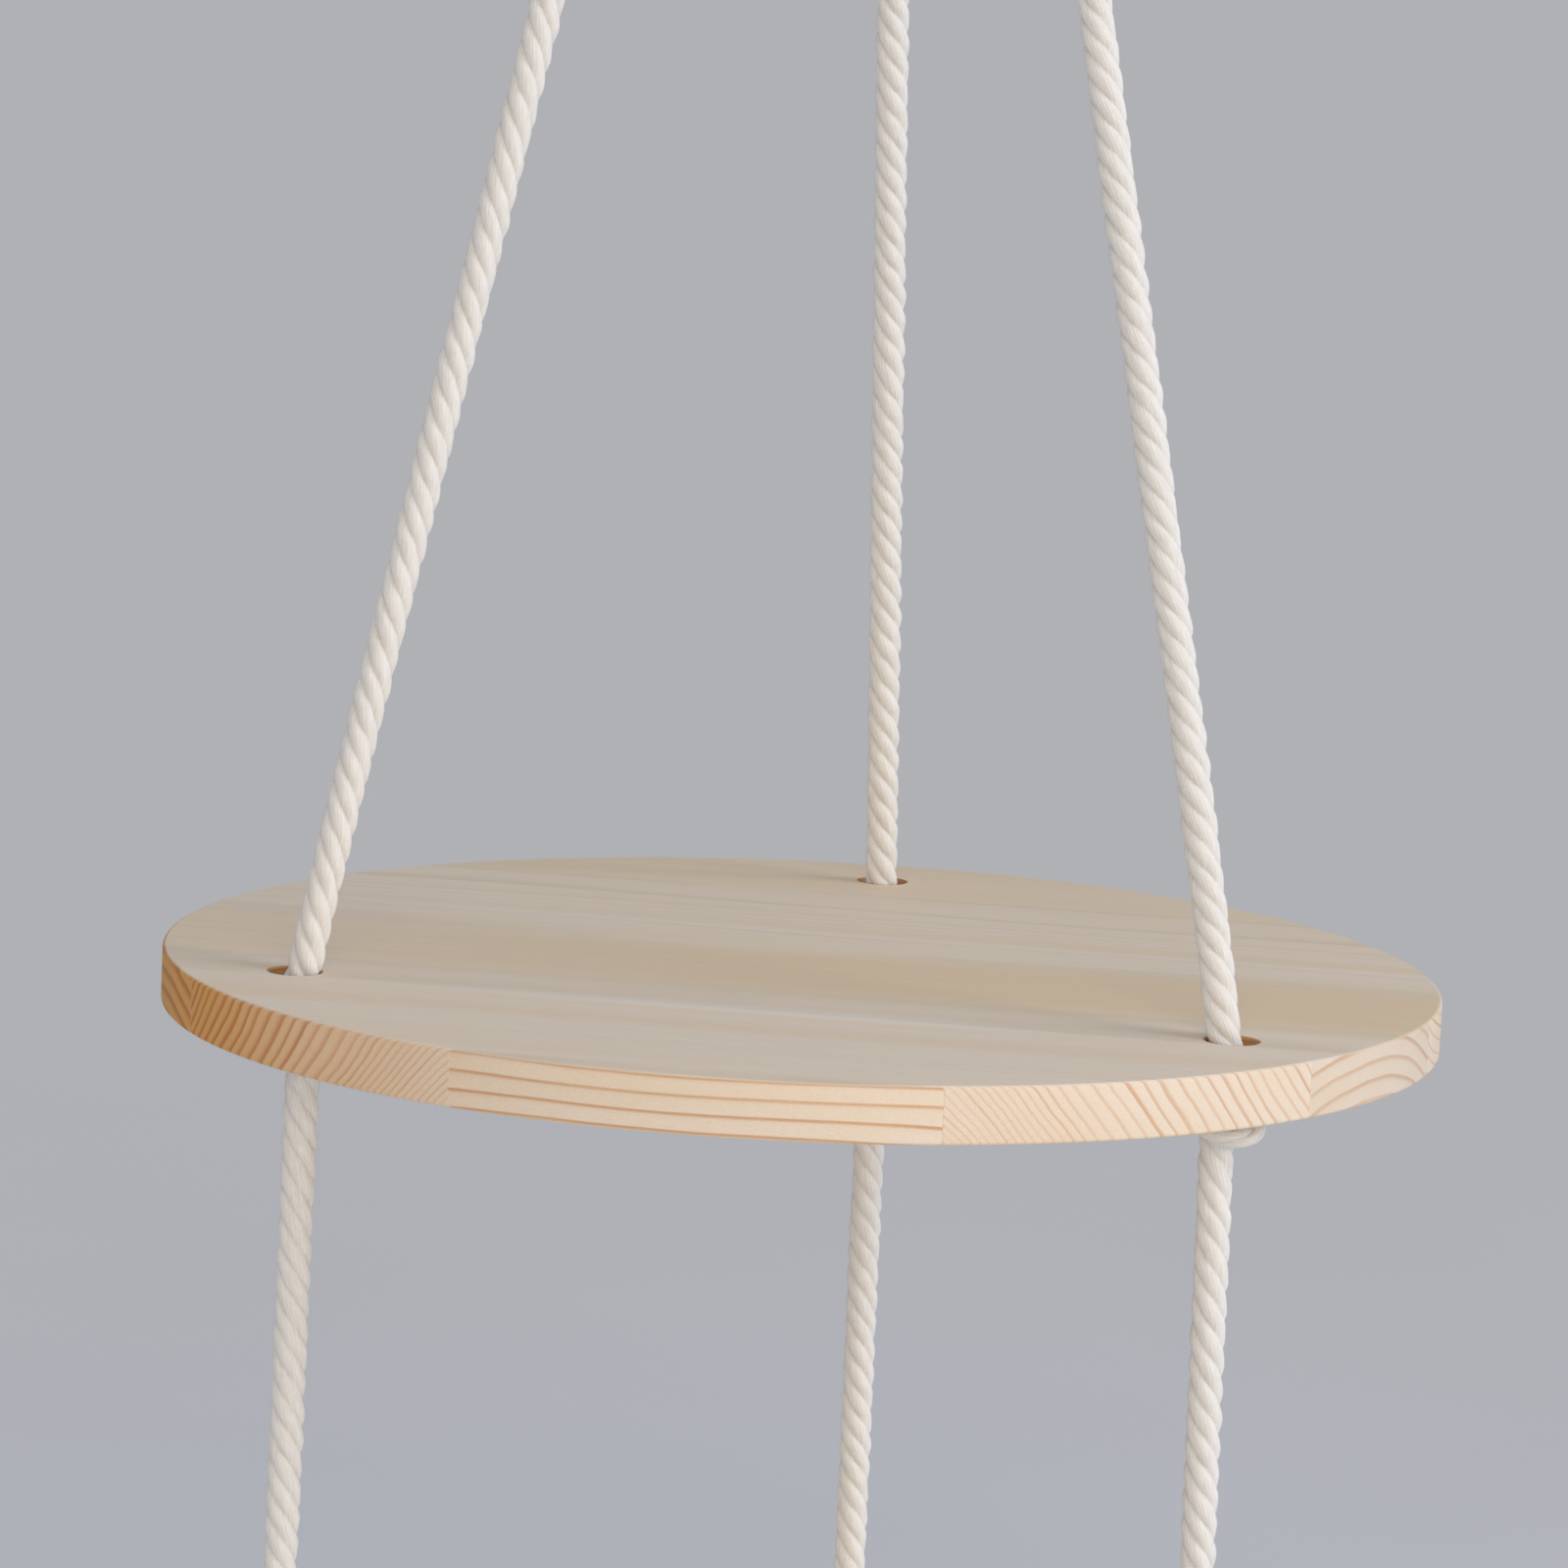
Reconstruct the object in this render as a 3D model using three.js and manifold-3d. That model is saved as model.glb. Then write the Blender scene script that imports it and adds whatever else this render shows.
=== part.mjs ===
// Hanging rope shelf: two round boards of edge-glued pine staves on three cotton ropes.
// The ropes gather under a steel ring, pass through a hole in each board and carry it on a knot.
// Millimetres, +Z up, +X to the right, -Y to the front; the grain of the boards runs along X.
// The origin is the inside top of the ring, where a wall or ceiling hook bears.
import * as THREE from 'three';
import { mergeVertices } from 'three/addons/utils/BufferGeometryUtils.js';
import Module from 'manifold-3d';

const wasm = await Module();
wasm.setup();

// Hanging ring: round steel wire, standing in the XZ plane
const RING_BORE = 50;
const RING_WIRE = 6;

// Four-strand cotton rope, the same for all three ropes
const ROPE_DIAMETER = 8;

// Round boards: the holes lie on a circle, this far in from the rim
const BOARD_DIAMETER = 300;
const BOARD_THICKNESS = 13;
const RIM_EASING = 0.5;
const HOLE_DIAMETER = 12;
const HOLE_EASING = 0.6;
const HOLE_TO_RIM = 26;

// Staves: a narrow one at the front rim, full ones on both sides of the glue joint behind the
// front holes, and a back one whose joint lies in front of the back hole
const STAVE_WIDTH = 60;
const FRONT_STAVE_WIDTH = 10;
const FRONT_HOLE_TO_JOINT = 42;
const BACK_HOLE_TO_JOINT = 24;
const GLUE_LINE = 0.05;

// Heights: top face of the upper board up to where the ropes turn out of their bundle,
// and top face to top face between the two boards
const HANGER_HEIGHT = 505;
const BOARD_SPACING = 240;

// Bundle of six rope legs under the ring: the gap between neighbours, the free neck between the
// ring's wire and the whipping, and the bend where each rope turns outwards
const LEG_GAP = 0.3;
const NECK_HEIGHT = 22;
const BEND_REACH = 10;
const BEND_LEAD = 4;

// Rope bights over the ring's wire: running gap to the wire, and gap between two bights
const WIRE_GAP = 0.7;
const BIGHT_GAP = 0.4;

// Whipping: one cotton cord wound round the bundle
const WHIPPING_CORD = 3;
const WHIPPING_GAP = 0.5;
const WHIPPING_LOOPS = 10;
const WHIPPING_SEAT = 0.3;

// Stopper knots: overhand knots, drawn so tight that the soft rope in them is thin and flat.
// The turns lie a spacing apart, and the neck swells back to the full rope.
const KNOT_ROPE = 4.6;
const KNOT_TURN_SPACING = 5.3;
const KNOT_FLATTENING_SHARE = 0.5;
const KNOT_NECK = 3;
const KNOT_SEAT = 0.3;
const KNOT_EXIT_SHIFT = 2.5;
const TAIL_LENGTH = 22;

// Seams between two solids of one rope, with an upright lead on both sides of each: their height
// in a hole, and their gaps where the rope sways, turns or stays still
const SEAM_HEIGHT = 5;
const SEAM_LEAD = 1;
const SWAY_GAP = 0.9;
const TURN_GAP = 0.5;
const STILL_GAP = 0.3;

// Facets, rings and steps
const DISC_FACETS = 96;
const HOLE_FACETS = 24;
const ROPE_SIDES = 8;
const KNOT_SIDES = 8;
const KNOT_RINGS = 42;
const KNOT_TURN_RINGS = 7;
const BIGHT_RINGS = 26;
const BIGHT_ARC_STEPS = 6;
const BEND_RINGS = 5;
const WHIPPING_SIDES = 6;
const WHIPPING_STEPS = 24;
const WIRE_SIDES = 12;
const WIRE_STEPS = 32;
const STEP_IN_DIAMETERS = 3;

// Places that follow from the sizes
const ropeRadius = ROPE_DIAMETER / 2;
const boardRadius = BOARD_DIAMETER / 2;
const holeCircleRadius = boardRadius - HOLE_TO_RIM;
const wireCircleRadius = (RING_BORE + RING_WIRE) / 2;
const ringCentreZ = -RING_BORE / 2;
const wireBottomZ = ringCentreZ - wireCircleRadius;
const bundleRadius = ROPE_DIAMETER + LEG_GAP;
const whippingPitch = WHIPPING_CORD + WHIPPING_GAP;
const whippingTopZ = wireBottomZ - NECK_HEIGHT;
const whippingBottomZ = whippingTopZ - WHIPPING_LOOPS * whippingPitch - WHIPPING_CORD;
const gatherZ = whippingBottomZ - BEND_LEAD - BEND_REACH;
const upperBoardZ = gatherZ - HANGER_HEIGHT;
const lowerBoardZ = upperBoardZ - BOARD_SPACING;

// The three ropes stand at the back, the left front and the right front of each board
const ROPES = [
  { side: 'back', angle: Math.PI / 2 },
  { side: 'left', angle: (Math.PI * 7) / 6 },
  { side: 'right', angle: (Math.PI * 11) / 6 },
];

const cotton = { color: 0xe9e2d8, roughness: 0.95, metalness: 0 };
const pine = { color: 0xd8bd94, roughness: 0.6, metalness: 0 };
const steel = { color: 0xb9bcbf, roughness: 0.35, metalness: 1 };

const shelf = new THREE.Group();

function addMesh(parent, name, geometry, look) {
  const mesh = new THREE.Mesh(geometry, new THREE.MeshStandardMaterial(look));
  mesh.name = name;
  parent.add(mesh);
  return mesh;
}

// A closed rod along a row of points: a ring of corners square to the row at each point, turned
// with the least twist from the ring before it, and a fan over each end.
function rodAlong(points, radiusAt, sides) {
  const last = points.length - 1;
  const corners = [];
  const triangles = [];
  const normal = new THREE.Vector3(1, 0, 0);
  const turn = new THREE.Quaternion();
  let before = null;
  points.forEach((point, i) => {
    const from = points[Math.max(i - 1, 0)];
    const to = points[Math.min(i + 1, last)];
    const along = to.clone().sub(from).normalize();
    if (before) normal.applyQuaternion(turn.setFromUnitVectors(before, along));
    normal.addScaledVector(along, -normal.dot(along)).normalize();
    const side = along.clone().cross(normal);
    for (let k = 0; k < sides; k++) {
      const a = (2 * Math.PI * k) / sides;
      const corner = point.clone();
      corner.addScaledVector(normal, radiusAt(point) * Math.cos(a));
      corner.addScaledVector(side, radiusAt(point) * Math.sin(a));
      corners.push(corner);
    }
    before = along;
  });
  for (let k = 0; k < sides; k++) {
    const next = (k + 1) % sides;
    for (let i = 0; i < last; i++) {
      const a = i * sides;
      const b = a + sides;
      triangles.push(a + k, a + next, b + k, a + next, b + next, b + k);
    }
    triangles.push(corners.length, next, k);
    triangles.push(corners.length + 1, last * sides + k, last * sides + next);
  }
  corners.push(points[0], points[last]);
  const geometry = new THREE.BufferGeometry().setFromPoints(corners);
  geometry.setIndex(triangles);
  geometry.computeVertexNormals();
  return geometry;
}

// The least gap between parts of a rod that lie apart along it, measured on its corners.
function leastSelfGap(geometry, sides, ringsApart) {
  const place = geometry.getAttribute('position');
  const rings = Math.floor((place.count - 2) / sides);
  const a = new THREE.Vector3();
  const b = new THREE.Vector3();
  let least = Infinity;
  for (let i = 0; i < rings * sides; i++) {
    a.fromBufferAttribute(place, i);
    for (let j = (Math.floor(i / sides) + ringsApart) * sides; j < rings * sides; j++) {
      least = Math.min(least, a.distanceTo(b.fromBufferAttribute(place, j)));
    }
  }
  return least;
}

function smoothPoints(points, count) {
  return new THREE.CatmullRomCurve3(points, false, 'centripetal').getSpacedPoints(count);
}

function straightPoints(from, to) {
  const count = Math.ceil(from.distanceTo(to) / (STEP_IN_DIAMETERS * ROPE_DIAMETER));
  return new THREE.LineCurve3(from, to).getSpacedPoints(count);
}

// Hanging ring
function makeRing() {
  const geometry = new THREE.TorusGeometry(wireCircleRadius, RING_WIRE / 2, WIRE_SIDES, WIRE_STEPS);
  geometry.rotateX(Math.PI / 2);
  addMesh(shelf, 'hanging_ring', geometry, steel).position.z = ringCentreZ;
}

// A rope's bight: from the bottom of the whipping up one leg, half round the ring's wire and down
// the other leg. The legs take the six places of the bundle, front and back of each other, and the
// side ropes' bights sit where the wire has begun to rise.
function makeBight({ side, angle }) {
  const legX = bundleRadius * Math.cos(angle);
  const legY = bundleRadius * Math.abs(Math.sin(angle));
  const bightX = Math.round(Math.cos(angle)) * (ROPE_DIAMETER + BIGHT_GAP);
  const wireZ = ringCentreZ - Math.sqrt(wireCircleRadius ** 2 - bightX ** 2);
  const reach = RING_WIRE / 2 + WIRE_GAP + ropeRadius;
  const front = [
    new THREE.Vector3(legX, -legY, whippingBottomZ),
    new THREE.Vector3(legX, -legY, whippingTopZ),
  ];
  const over = [];
  for (let step = 0; step <= BIGHT_ARC_STEPS; step++) {
    const a = (Math.PI * step) / BIGHT_ARC_STEPS;
    over.push(new THREE.Vector3(bightX, -reach * Math.cos(a), wireZ + reach * Math.sin(a)));
  }
  const back = front.map((p) => new THREE.Vector3(p.x, -p.y, p.z)).reverse();
  const points = smoothPoints([...front, ...over, ...back], BIGHT_RINGS);
  const geometry = rodAlong(points, () => ropeRadius, ROPE_SIDES);
  addMesh(shelf, `rope_bight_${side}`, geometry, cotton);
}

// Whipping: one helix round the bundle, its ends straight for one cord diameter
function makeWhipping() {
  const radius = bundleRadius + ropeRadius + WHIPPING_SEAT + WHIPPING_CORD / 2;
  const steps = WHIPPING_LOOPS * WHIPPING_STEPS;
  const points = [];
  for (let i = 0; i <= steps; i++) {
    const a = (2 * Math.PI * i) / WHIPPING_STEPS;
    const z = whippingTopZ - WHIPPING_CORD / 2 - (whippingPitch * i) / WHIPPING_STEPS;
    points.push(new THREE.Vector3(radius * Math.cos(a), radius * Math.sin(a), z));
  }
  const straightOn = (end, beforeEnd) => {
    const lead = end.clone().sub(beforeEnd).setLength(WHIPPING_CORD);
    return end.clone().add(lead);
  };
  points.push(straightOn(points[steps], points[steps - 1]));
  points.unshift(straightOn(points[0], points[1]));
  const geometry = rodAlong(points, () => WHIPPING_CORD / 2, WHIPPING_SIDES);
  const gap = leastSelfGap(geometry, WHIPPING_SIDES, WHIPPING_STEPS / 2);
  console.log(`whipping_cord least gap to itself ${gap.toFixed(2)} mm`);
  addMesh(shelf, 'whipping_cord', geometry, cotton);
}

// Each rope is drawn in a frame of its own, with the boards' holes towards -Y, and then turned to
// its side of the boards. A place in that frame is a distance from the middle and a height.
function inRopeFrame(radius, z) {
  return new THREE.Vector3(0, -radius, z);
}

// How far the upper ropes move outwards for each millimetre that they drop, from the bundle to the
// middle of the hole
const ropeSlope = (holeCircleRadius - bundleRadius) / (HANGER_HEIGHT + BOARD_THICKNESS / 2);

function slopingRadius(z) {
  return bundleRadius + (gatherZ - z) * ropeSlope;
}

const upperSeamZ = upperBoardZ - BOARD_THICKNESS + SEAM_HEIGHT;
const lowerSeamZ = lowerBoardZ - BOARD_THICKNESS + SEAM_HEIGHT;
const upperSeamRadius = slopingRadius(upperSeamZ + SEAM_LEAD);

// Upper stretch: straight down out of the whipping, one bend outwards, then straight to the hole,
// where it turns upright again for its seam with the knot
function makeUpperRope(frame, side) {
  const top = inRopeFrame(bundleRadius, whippingBottomZ - TURN_GAP);
  const bendTop = inRopeFrame(bundleRadius, gatherZ + BEND_REACH);
  const corner = inRopeFrame(bundleRadius, gatherZ);
  const bendEnd = inRopeFrame(slopingRadius(gatherZ - BEND_REACH), gatherZ - BEND_REACH);
  const slopeEnd = inRopeFrame(upperSeamRadius, upperSeamZ + SEAM_LEAD);
  const seam = inRopeFrame(upperSeamRadius, upperSeamZ);
  const bend = new THREE.QuadraticBezierCurve3(bendTop, corner, bendEnd).getPoints(BEND_RINGS);
  const points = [top, ...bend, ...straightPoints(bendEnd, slopeEnd).slice(1), seam];
  const geometry = rodAlong(points, () => ropeRadius, ROPE_SIDES);
  addMesh(frame, `rope_upper_${side}`, geometry, cotton);
}

// Half of an overhand knot's route, from its middle outwards, in shares of the turn spacing:
// to the side, inwards and up. The other half is this one turned half round the sideways axis.
const KNOT_HALF_SHARES = [
  [0.88, 0, 0], [0.85, 0.68, 0.56], [0.26, 1.06, 1.09], [-0.55, 0.9, 1.25], [-1.1, 0.28, 1.03],
  [-1.05, -0.37, 0.45], [-0.46, -0.54, -0.18], [0, -0.09, -0.77], [0, 0.03, -1.61],
];
const knotTopShare = Math.max(...KNOT_HALF_SHARES.map((share) => share[2]));
const knotHalfHeight =
  (knotTopShare * KNOT_TURN_SPACING + KNOT_ROPE / 2) * KNOT_FLATTENING_SHARE;

function knotCentreZ(boardZ) {
  return boardZ - BOARD_THICKNESS - KNOT_SEAT - knotHalfHeight;
}

// The lower ropes leave the upper knots a little nearer the middle than the holes
const lowerRopeTopRadius = holeCircleRadius - KNOT_EXIT_SHIFT;
const swayZ = knotCentreZ(upperBoardZ) - knotHalfHeight - 2 * KNOT_NECK;
const tailEndZ = knotCentreZ(lowerBoardZ) - knotHalfHeight - TAIL_LENGTH;

// A stopper knot under a board: it starts at its seam in the hole, as far from the middle as the
// rope above, leaves the turns right above the given end, and goes down to it. It is drawn round,
// then flattened against the board.
function makeKnot(frame, name, boardZ, entry, exit) {
  const entryEnd = entry.clone();
  entryEnd.z -= SEAM_LEAD;
  const centre = inRopeFrame(holeCircleRadius, knotCentreZ(boardZ));
  const unflatten = (p) => {
    const local = p.clone().sub(centre);
    local.z /= KNOT_FLATTENING_SHARE;
    return local;
  };
  const place = ([x, y, z]) => new THREE.Vector3(x, y, z).multiplyScalar(KNOT_TURN_SPACING);
  const outwards = KNOT_HALF_SHARES.map(place);
  const inwards = outwards.slice(1).map((p) => new THREE.Vector3(p.x, -p.y, -p.z)).reverse();
  outwards.at(-1).y = exit.y - centre.y;
  const exitTop = exit.clone();
  exitTop.z = centre.z - knotHalfHeight - KNOT_NECK;
  const route = [entry, entryEnd].map(unflatten).concat(inwards, outwards);
  route.push(...[exitTop, exit].map(unflatten));
  const neckStart = knotHalfHeight / KNOT_FLATTENING_SHARE;
  const neckLength = KNOT_NECK / KNOT_FLATTENING_SHARE;
  const radiusAt = (p) => {
    const share = THREE.MathUtils.clamp((Math.abs(p.z) - neckStart) / neckLength, 0, 1);
    return THREE.MathUtils.lerp(KNOT_ROPE, ROPE_DIAMETER, share) / 2;
  };
  const geometry = rodAlong(smoothPoints(route, KNOT_RINGS), radiusAt, KNOT_SIDES);
  geometry.scale(1, 1, KNOT_FLATTENING_SHARE);
  const gap = leastSelfGap(geometry, KNOT_SIDES, KNOT_TURN_RINGS);
  console.log(`${name} least gap to itself ${gap.toFixed(2)} mm`);
  addMesh(frame, name, geometry, cotton).position.copy(centre);
}

// Lower stretch: straight from the knot above it down into the lower board's hole
function makeLowerRope(frame, side) {
  const top = inRopeFrame(lowerRopeTopRadius, swayZ - SWAY_GAP);
  const bottom = inRopeFrame(holeCircleRadius, lowerSeamZ);
  const geometry = rodAlong(straightPoints(top, bottom), () => ropeRadius, ROPE_SIDES);
  addMesh(frame, `rope_lower_${side}`, geometry, cotton);
}

// The whole rope on one side of the boards, from the whipping down to its tail
function makeRope({ side, angle }) {
  const frame = new THREE.Group();
  frame.rotation.z = angle + Math.PI / 2;
  shelf.add(frame);
  makeUpperRope(frame, side);
  makeKnot(
    frame, `knot_upper_${side}`, upperBoardZ,
    inRopeFrame(upperSeamRadius, upperSeamZ - STILL_GAP),
    inRopeFrame(lowerRopeTopRadius, swayZ),
  );
  makeLowerRope(frame, side);
  makeKnot(
    frame, `knot_lower_${side}`, lowerBoardZ,
    inRopeFrame(holeCircleRadius, lowerSeamZ - SWAY_GAP),
    inRopeFrame(holeCircleRadius, tailEndZ),
  );
}

function toSolid(geometry) {
  const bare = geometry.clone();
  bare.deleteAttribute('normal');
  bare.deleteAttribute('uv');
  const merged = mergeVertices(bare);
  const vertProperties = new Float32Array(merged.getAttribute('position').array);
  const triVerts = new Uint32Array(merged.index.array);
  return new wasm.Manifold(new wasm.Mesh({ numProp: 3, vertProperties, triVerts }));
}

function fromSolid(solid) {
  const mesh = solid.getMesh();
  const geometry = new THREE.BufferGeometry();
  geometry.setAttribute('position', new THREE.BufferAttribute(mesh.vertProperties, 3));
  geometry.setIndex(new THREE.BufferAttribute(mesh.triVerts, 1));
  geometry.computeVertexNormals();
  return geometry;
}

// A body turned about Z from a half profile that starts and ends on the axis
function turned(profile, facets) {
  const points = profile.map(([radius, z]) => new THREE.Vector2(radius, z));
  return toSolid(new THREE.LatheGeometry(points, facets).rotateX(Math.PI / 2));
}

// A board's whole disc, top face at z = 0, with its eased rims and its three eased holes
function makeDisc() {
  const bottom = -BOARD_THICKNESS;
  const easedRadius = boardRadius - RIM_EASING;
  let disc = turned([
    [0, bottom], [easedRadius, bottom], [boardRadius, bottom + RIM_EASING],
    [boardRadius, -RIM_EASING], [easedRadius, 0], [0, 0],
  ], DISC_FACETS);
  const hole = HOLE_DIAMETER / 2;
  const wide = hole + 2 * HOLE_EASING;
  const drill = turned([
    [0, bottom - HOLE_EASING], [wide, bottom - HOLE_EASING], [hole, bottom + HOLE_EASING],
    [hole, -HOLE_EASING], [wide, HOLE_EASING], [0, HOLE_EASING],
  ], HOLE_FACETS);
  for (const { angle } of ROPES) {
    const x = holeCircleRadius * Math.cos(angle);
    const y = holeCircleRadius * Math.sin(angle);
    disc = disc.subtract(drill.translate([x, y, 0]));
  }
  return disc;
}

// The glue joints from front to back. They follow the holes, so that no joint runs into one.
const middleJointY = holeCircleRadius * Math.sin(ROPES[1].angle) + FRONT_HOLE_TO_JOINT;
const GLUE_JOINTS = [
  FRONT_STAVE_WIDTH - boardRadius,
  middleJointY - STAVE_WIDTH,
  middleJointY,
  middleJointY + STAVE_WIDTH,
  holeCircleRadius - BACK_HOLE_TO_JOINT,
];

// The staves are strips of the disc along the grain, a glue line apart, counted from the front
function makeBoard(disc, name, boardZ) {
  const board = new THREE.Group();
  board.position.z = boardZ;
  shelf.add(board);
  const edges = [-boardRadius, ...GLUE_JOINTS, boardRadius];
  edges.slice(1).forEach((back, i) => {
    const front = edges[i];
    const depth = back - front - GLUE_LINE;
    const strip = new THREE.BoxGeometry(2 * BOARD_DIAMETER, depth, 2 * BOARD_DIAMETER);
    strip.translate(0, (front + back) / 2, 0);
    const geometry = fromSolid(disc.intersect(toSolid(strip)));
    addMesh(board, `${name}_stave_${i + 1}`, geometry, pine);
  });
}

makeRing();
ROPES.forEach(makeBight);
makeWhipping();
ROPES.forEach(makeRope);
const disc = makeDisc();
makeBoard(disc, 'upper_board', upperBoardZ);
makeBoard(disc, 'lower_board', lowerBoardZ);

export default shelf;
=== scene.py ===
"""Looks of the hanging rope shelf: two round pine boards on three cotton ropes under a steel ring.

Metres, +Z up, +X along the boards' grain, -Y to the front, origin at the inside top of the ring.
Each rope is worked out whole, as one twisted four-strand surface from its cut end in the whipping
to its tail under the lower board, and is then divided where the shelf moves.
"""
import math

import bpy
import numpy as np
from mathutils import Matrix, Vector
from mathutils.geometry import tessellate_polygon


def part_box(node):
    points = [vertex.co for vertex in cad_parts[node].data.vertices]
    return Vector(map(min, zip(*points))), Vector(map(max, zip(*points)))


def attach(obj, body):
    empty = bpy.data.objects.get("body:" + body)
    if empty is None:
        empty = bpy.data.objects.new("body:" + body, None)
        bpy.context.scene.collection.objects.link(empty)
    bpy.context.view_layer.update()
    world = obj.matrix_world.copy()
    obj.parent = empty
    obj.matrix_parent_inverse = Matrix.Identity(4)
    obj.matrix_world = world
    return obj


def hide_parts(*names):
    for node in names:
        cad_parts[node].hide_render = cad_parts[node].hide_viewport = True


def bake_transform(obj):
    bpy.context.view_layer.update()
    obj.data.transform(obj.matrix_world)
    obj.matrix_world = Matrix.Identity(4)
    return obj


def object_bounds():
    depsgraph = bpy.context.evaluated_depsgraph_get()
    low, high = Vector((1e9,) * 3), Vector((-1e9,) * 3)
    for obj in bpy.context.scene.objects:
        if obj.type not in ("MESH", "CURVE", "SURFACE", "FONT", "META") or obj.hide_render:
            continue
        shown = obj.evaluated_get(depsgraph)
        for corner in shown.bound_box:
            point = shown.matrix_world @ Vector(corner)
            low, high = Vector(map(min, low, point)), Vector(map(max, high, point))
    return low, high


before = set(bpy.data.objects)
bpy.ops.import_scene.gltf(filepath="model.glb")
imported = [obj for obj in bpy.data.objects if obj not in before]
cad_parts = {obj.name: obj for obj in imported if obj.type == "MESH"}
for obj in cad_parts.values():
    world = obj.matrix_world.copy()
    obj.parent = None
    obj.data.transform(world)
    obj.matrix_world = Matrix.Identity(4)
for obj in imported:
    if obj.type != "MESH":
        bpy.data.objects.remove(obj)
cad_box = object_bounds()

MM = 0.001

# Sizes, as in the construction

RING_BORE = 50 * MM
RING_WIRE = 6 * MM
ROPE_DIAMETER = 8 * MM
BOARD_DIAMETER = 300 * MM
BOARD_THICKNESS = 13 * MM
HOLE_DIAMETER = 12 * MM
HOLE_TO_RIM = 26 * MM
GLUE_LINE = 0.05 * MM

# From the ring down: the bights side by side, the neck below them, the whipping round six legs,
# a straight lead and the bend outwards
BIGHT_GAP = 0.4 * MM
NECK_HEIGHT = 22 * MM
WHIPPING_CORD = 3 * MM
WHIPPING_GAP = 0.5 * MM
WHIPPING_LOOPS = 10
LEG_GAP = 0.3 * MM
BEND_LEAD = 4 * MM
BEND_REACH = 10 * MM

# A knot is flattened to half its height in two steps: its route to the drawn height, and its
# finished surface by the drawn flattening
KNOT_TURN_SPACING = 5.3 * MM
KNOT_ROPE = 4.6 * MM
KNOT_FLATTENING = 0.5
KNOT_DRAWN_HEIGHT = 0.65
KNOT_DRAWN_FLATTENING = 0.77
KNOT_NECK = 3 * MM
KNOT_SEAT = 0.3 * MM
KNOT_EXIT_SHIFT = 2.5 * MM
TAIL_LENGTH = 22 * MM
SEAM_HEIGHT = 5 * MM
SWAY_GAP = 0.9 * MM

# Places, from the sizes and from the frame

upper_board_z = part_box("upper_board_stave_4")[1].z
lower_board_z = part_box("lower_board_stave_4")[1].z
board_radius = BOARD_DIAMETER / 2
hole_circle_radius = board_radius - HOLE_TO_RIM
rope_radius = ROPE_DIAMETER / 2
ring_centre_z = -RING_BORE / 2
wire_circle_radius = (RING_BORE + RING_WIRE) / 2
bundle_radius = ROPE_DIAMETER + LEG_GAP
whipping_pitch = WHIPPING_CORD + WHIPPING_GAP
whipping_top_z = ring_centre_z - wire_circle_radius - NECK_HEIGHT
whipping_bottom_z = whipping_top_z - WHIPPING_LOOPS * whipping_pitch - WHIPPING_CORD
gather_z = whipping_bottom_z - BEND_LEAD - BEND_REACH
hanger_height = gather_z - upper_board_z
rope_slope = (hole_circle_radius - bundle_radius) / (hanger_height + BOARD_THICKNESS / 2)

# Each rope's name, and the angle of its hole about the middle
ROPES = [("back", math.pi / 2), ("left", math.pi * 7 / 6), ("right", math.pi * 11 / 6)]


# Materials: colours are sRGB hex, turned to linear

def linear(hex_colour):
    """Red, green and blue in linear light, and an alpha of 1."""
    channels = [int(hex_colour[i:i + 2], 16) / 255 for i in (1, 3, 5)]
    return [c / 12.92 if c <= 0.04045 else ((c + 0.055) / 1.055) ** 2.4 for c in channels] + [1]


def add(tree, kind, inputs=None, stops=(), **settings):
    """A node of a material with its settings, its inputs and, on a ramp, its colour stops, each a
    place and an sRGB hex. An input is a value, a socket, or a node, which gives the first of its
    outputs that is in use."""
    node = tree.nodes.new("ShaderNode" + kind)
    for name, value in settings.items():
        setattr(node, name, value)
    for key, value in (inputs or {}).items():
        if isinstance(value, bpy.types.Node):
            value = next(socket for socket in value.outputs if socket.enabled)
        if isinstance(value, bpy.types.NodeSocket):
            tree.links.new(value, node.inputs[key])
        else:
            node.inputs[key].default_value = value
    if stops:
        elements = node.color_ramp.elements
        elements.remove(elements[-1])
        elements[0].position, elements[0].color = stops[0][0], linear(stops[0][1])
        for place, colour in stops[1:]:
            elements.new(place).color = linear(colour)
    return node


def new_material(name):
    """A material with no nodes yet, and its tree."""
    material = bpy.data.materials.new(name)
    material.use_nodes = True
    material.node_tree.nodes.clear()
    return material, material.node_tree


# Meshes from whole arrays

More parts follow.
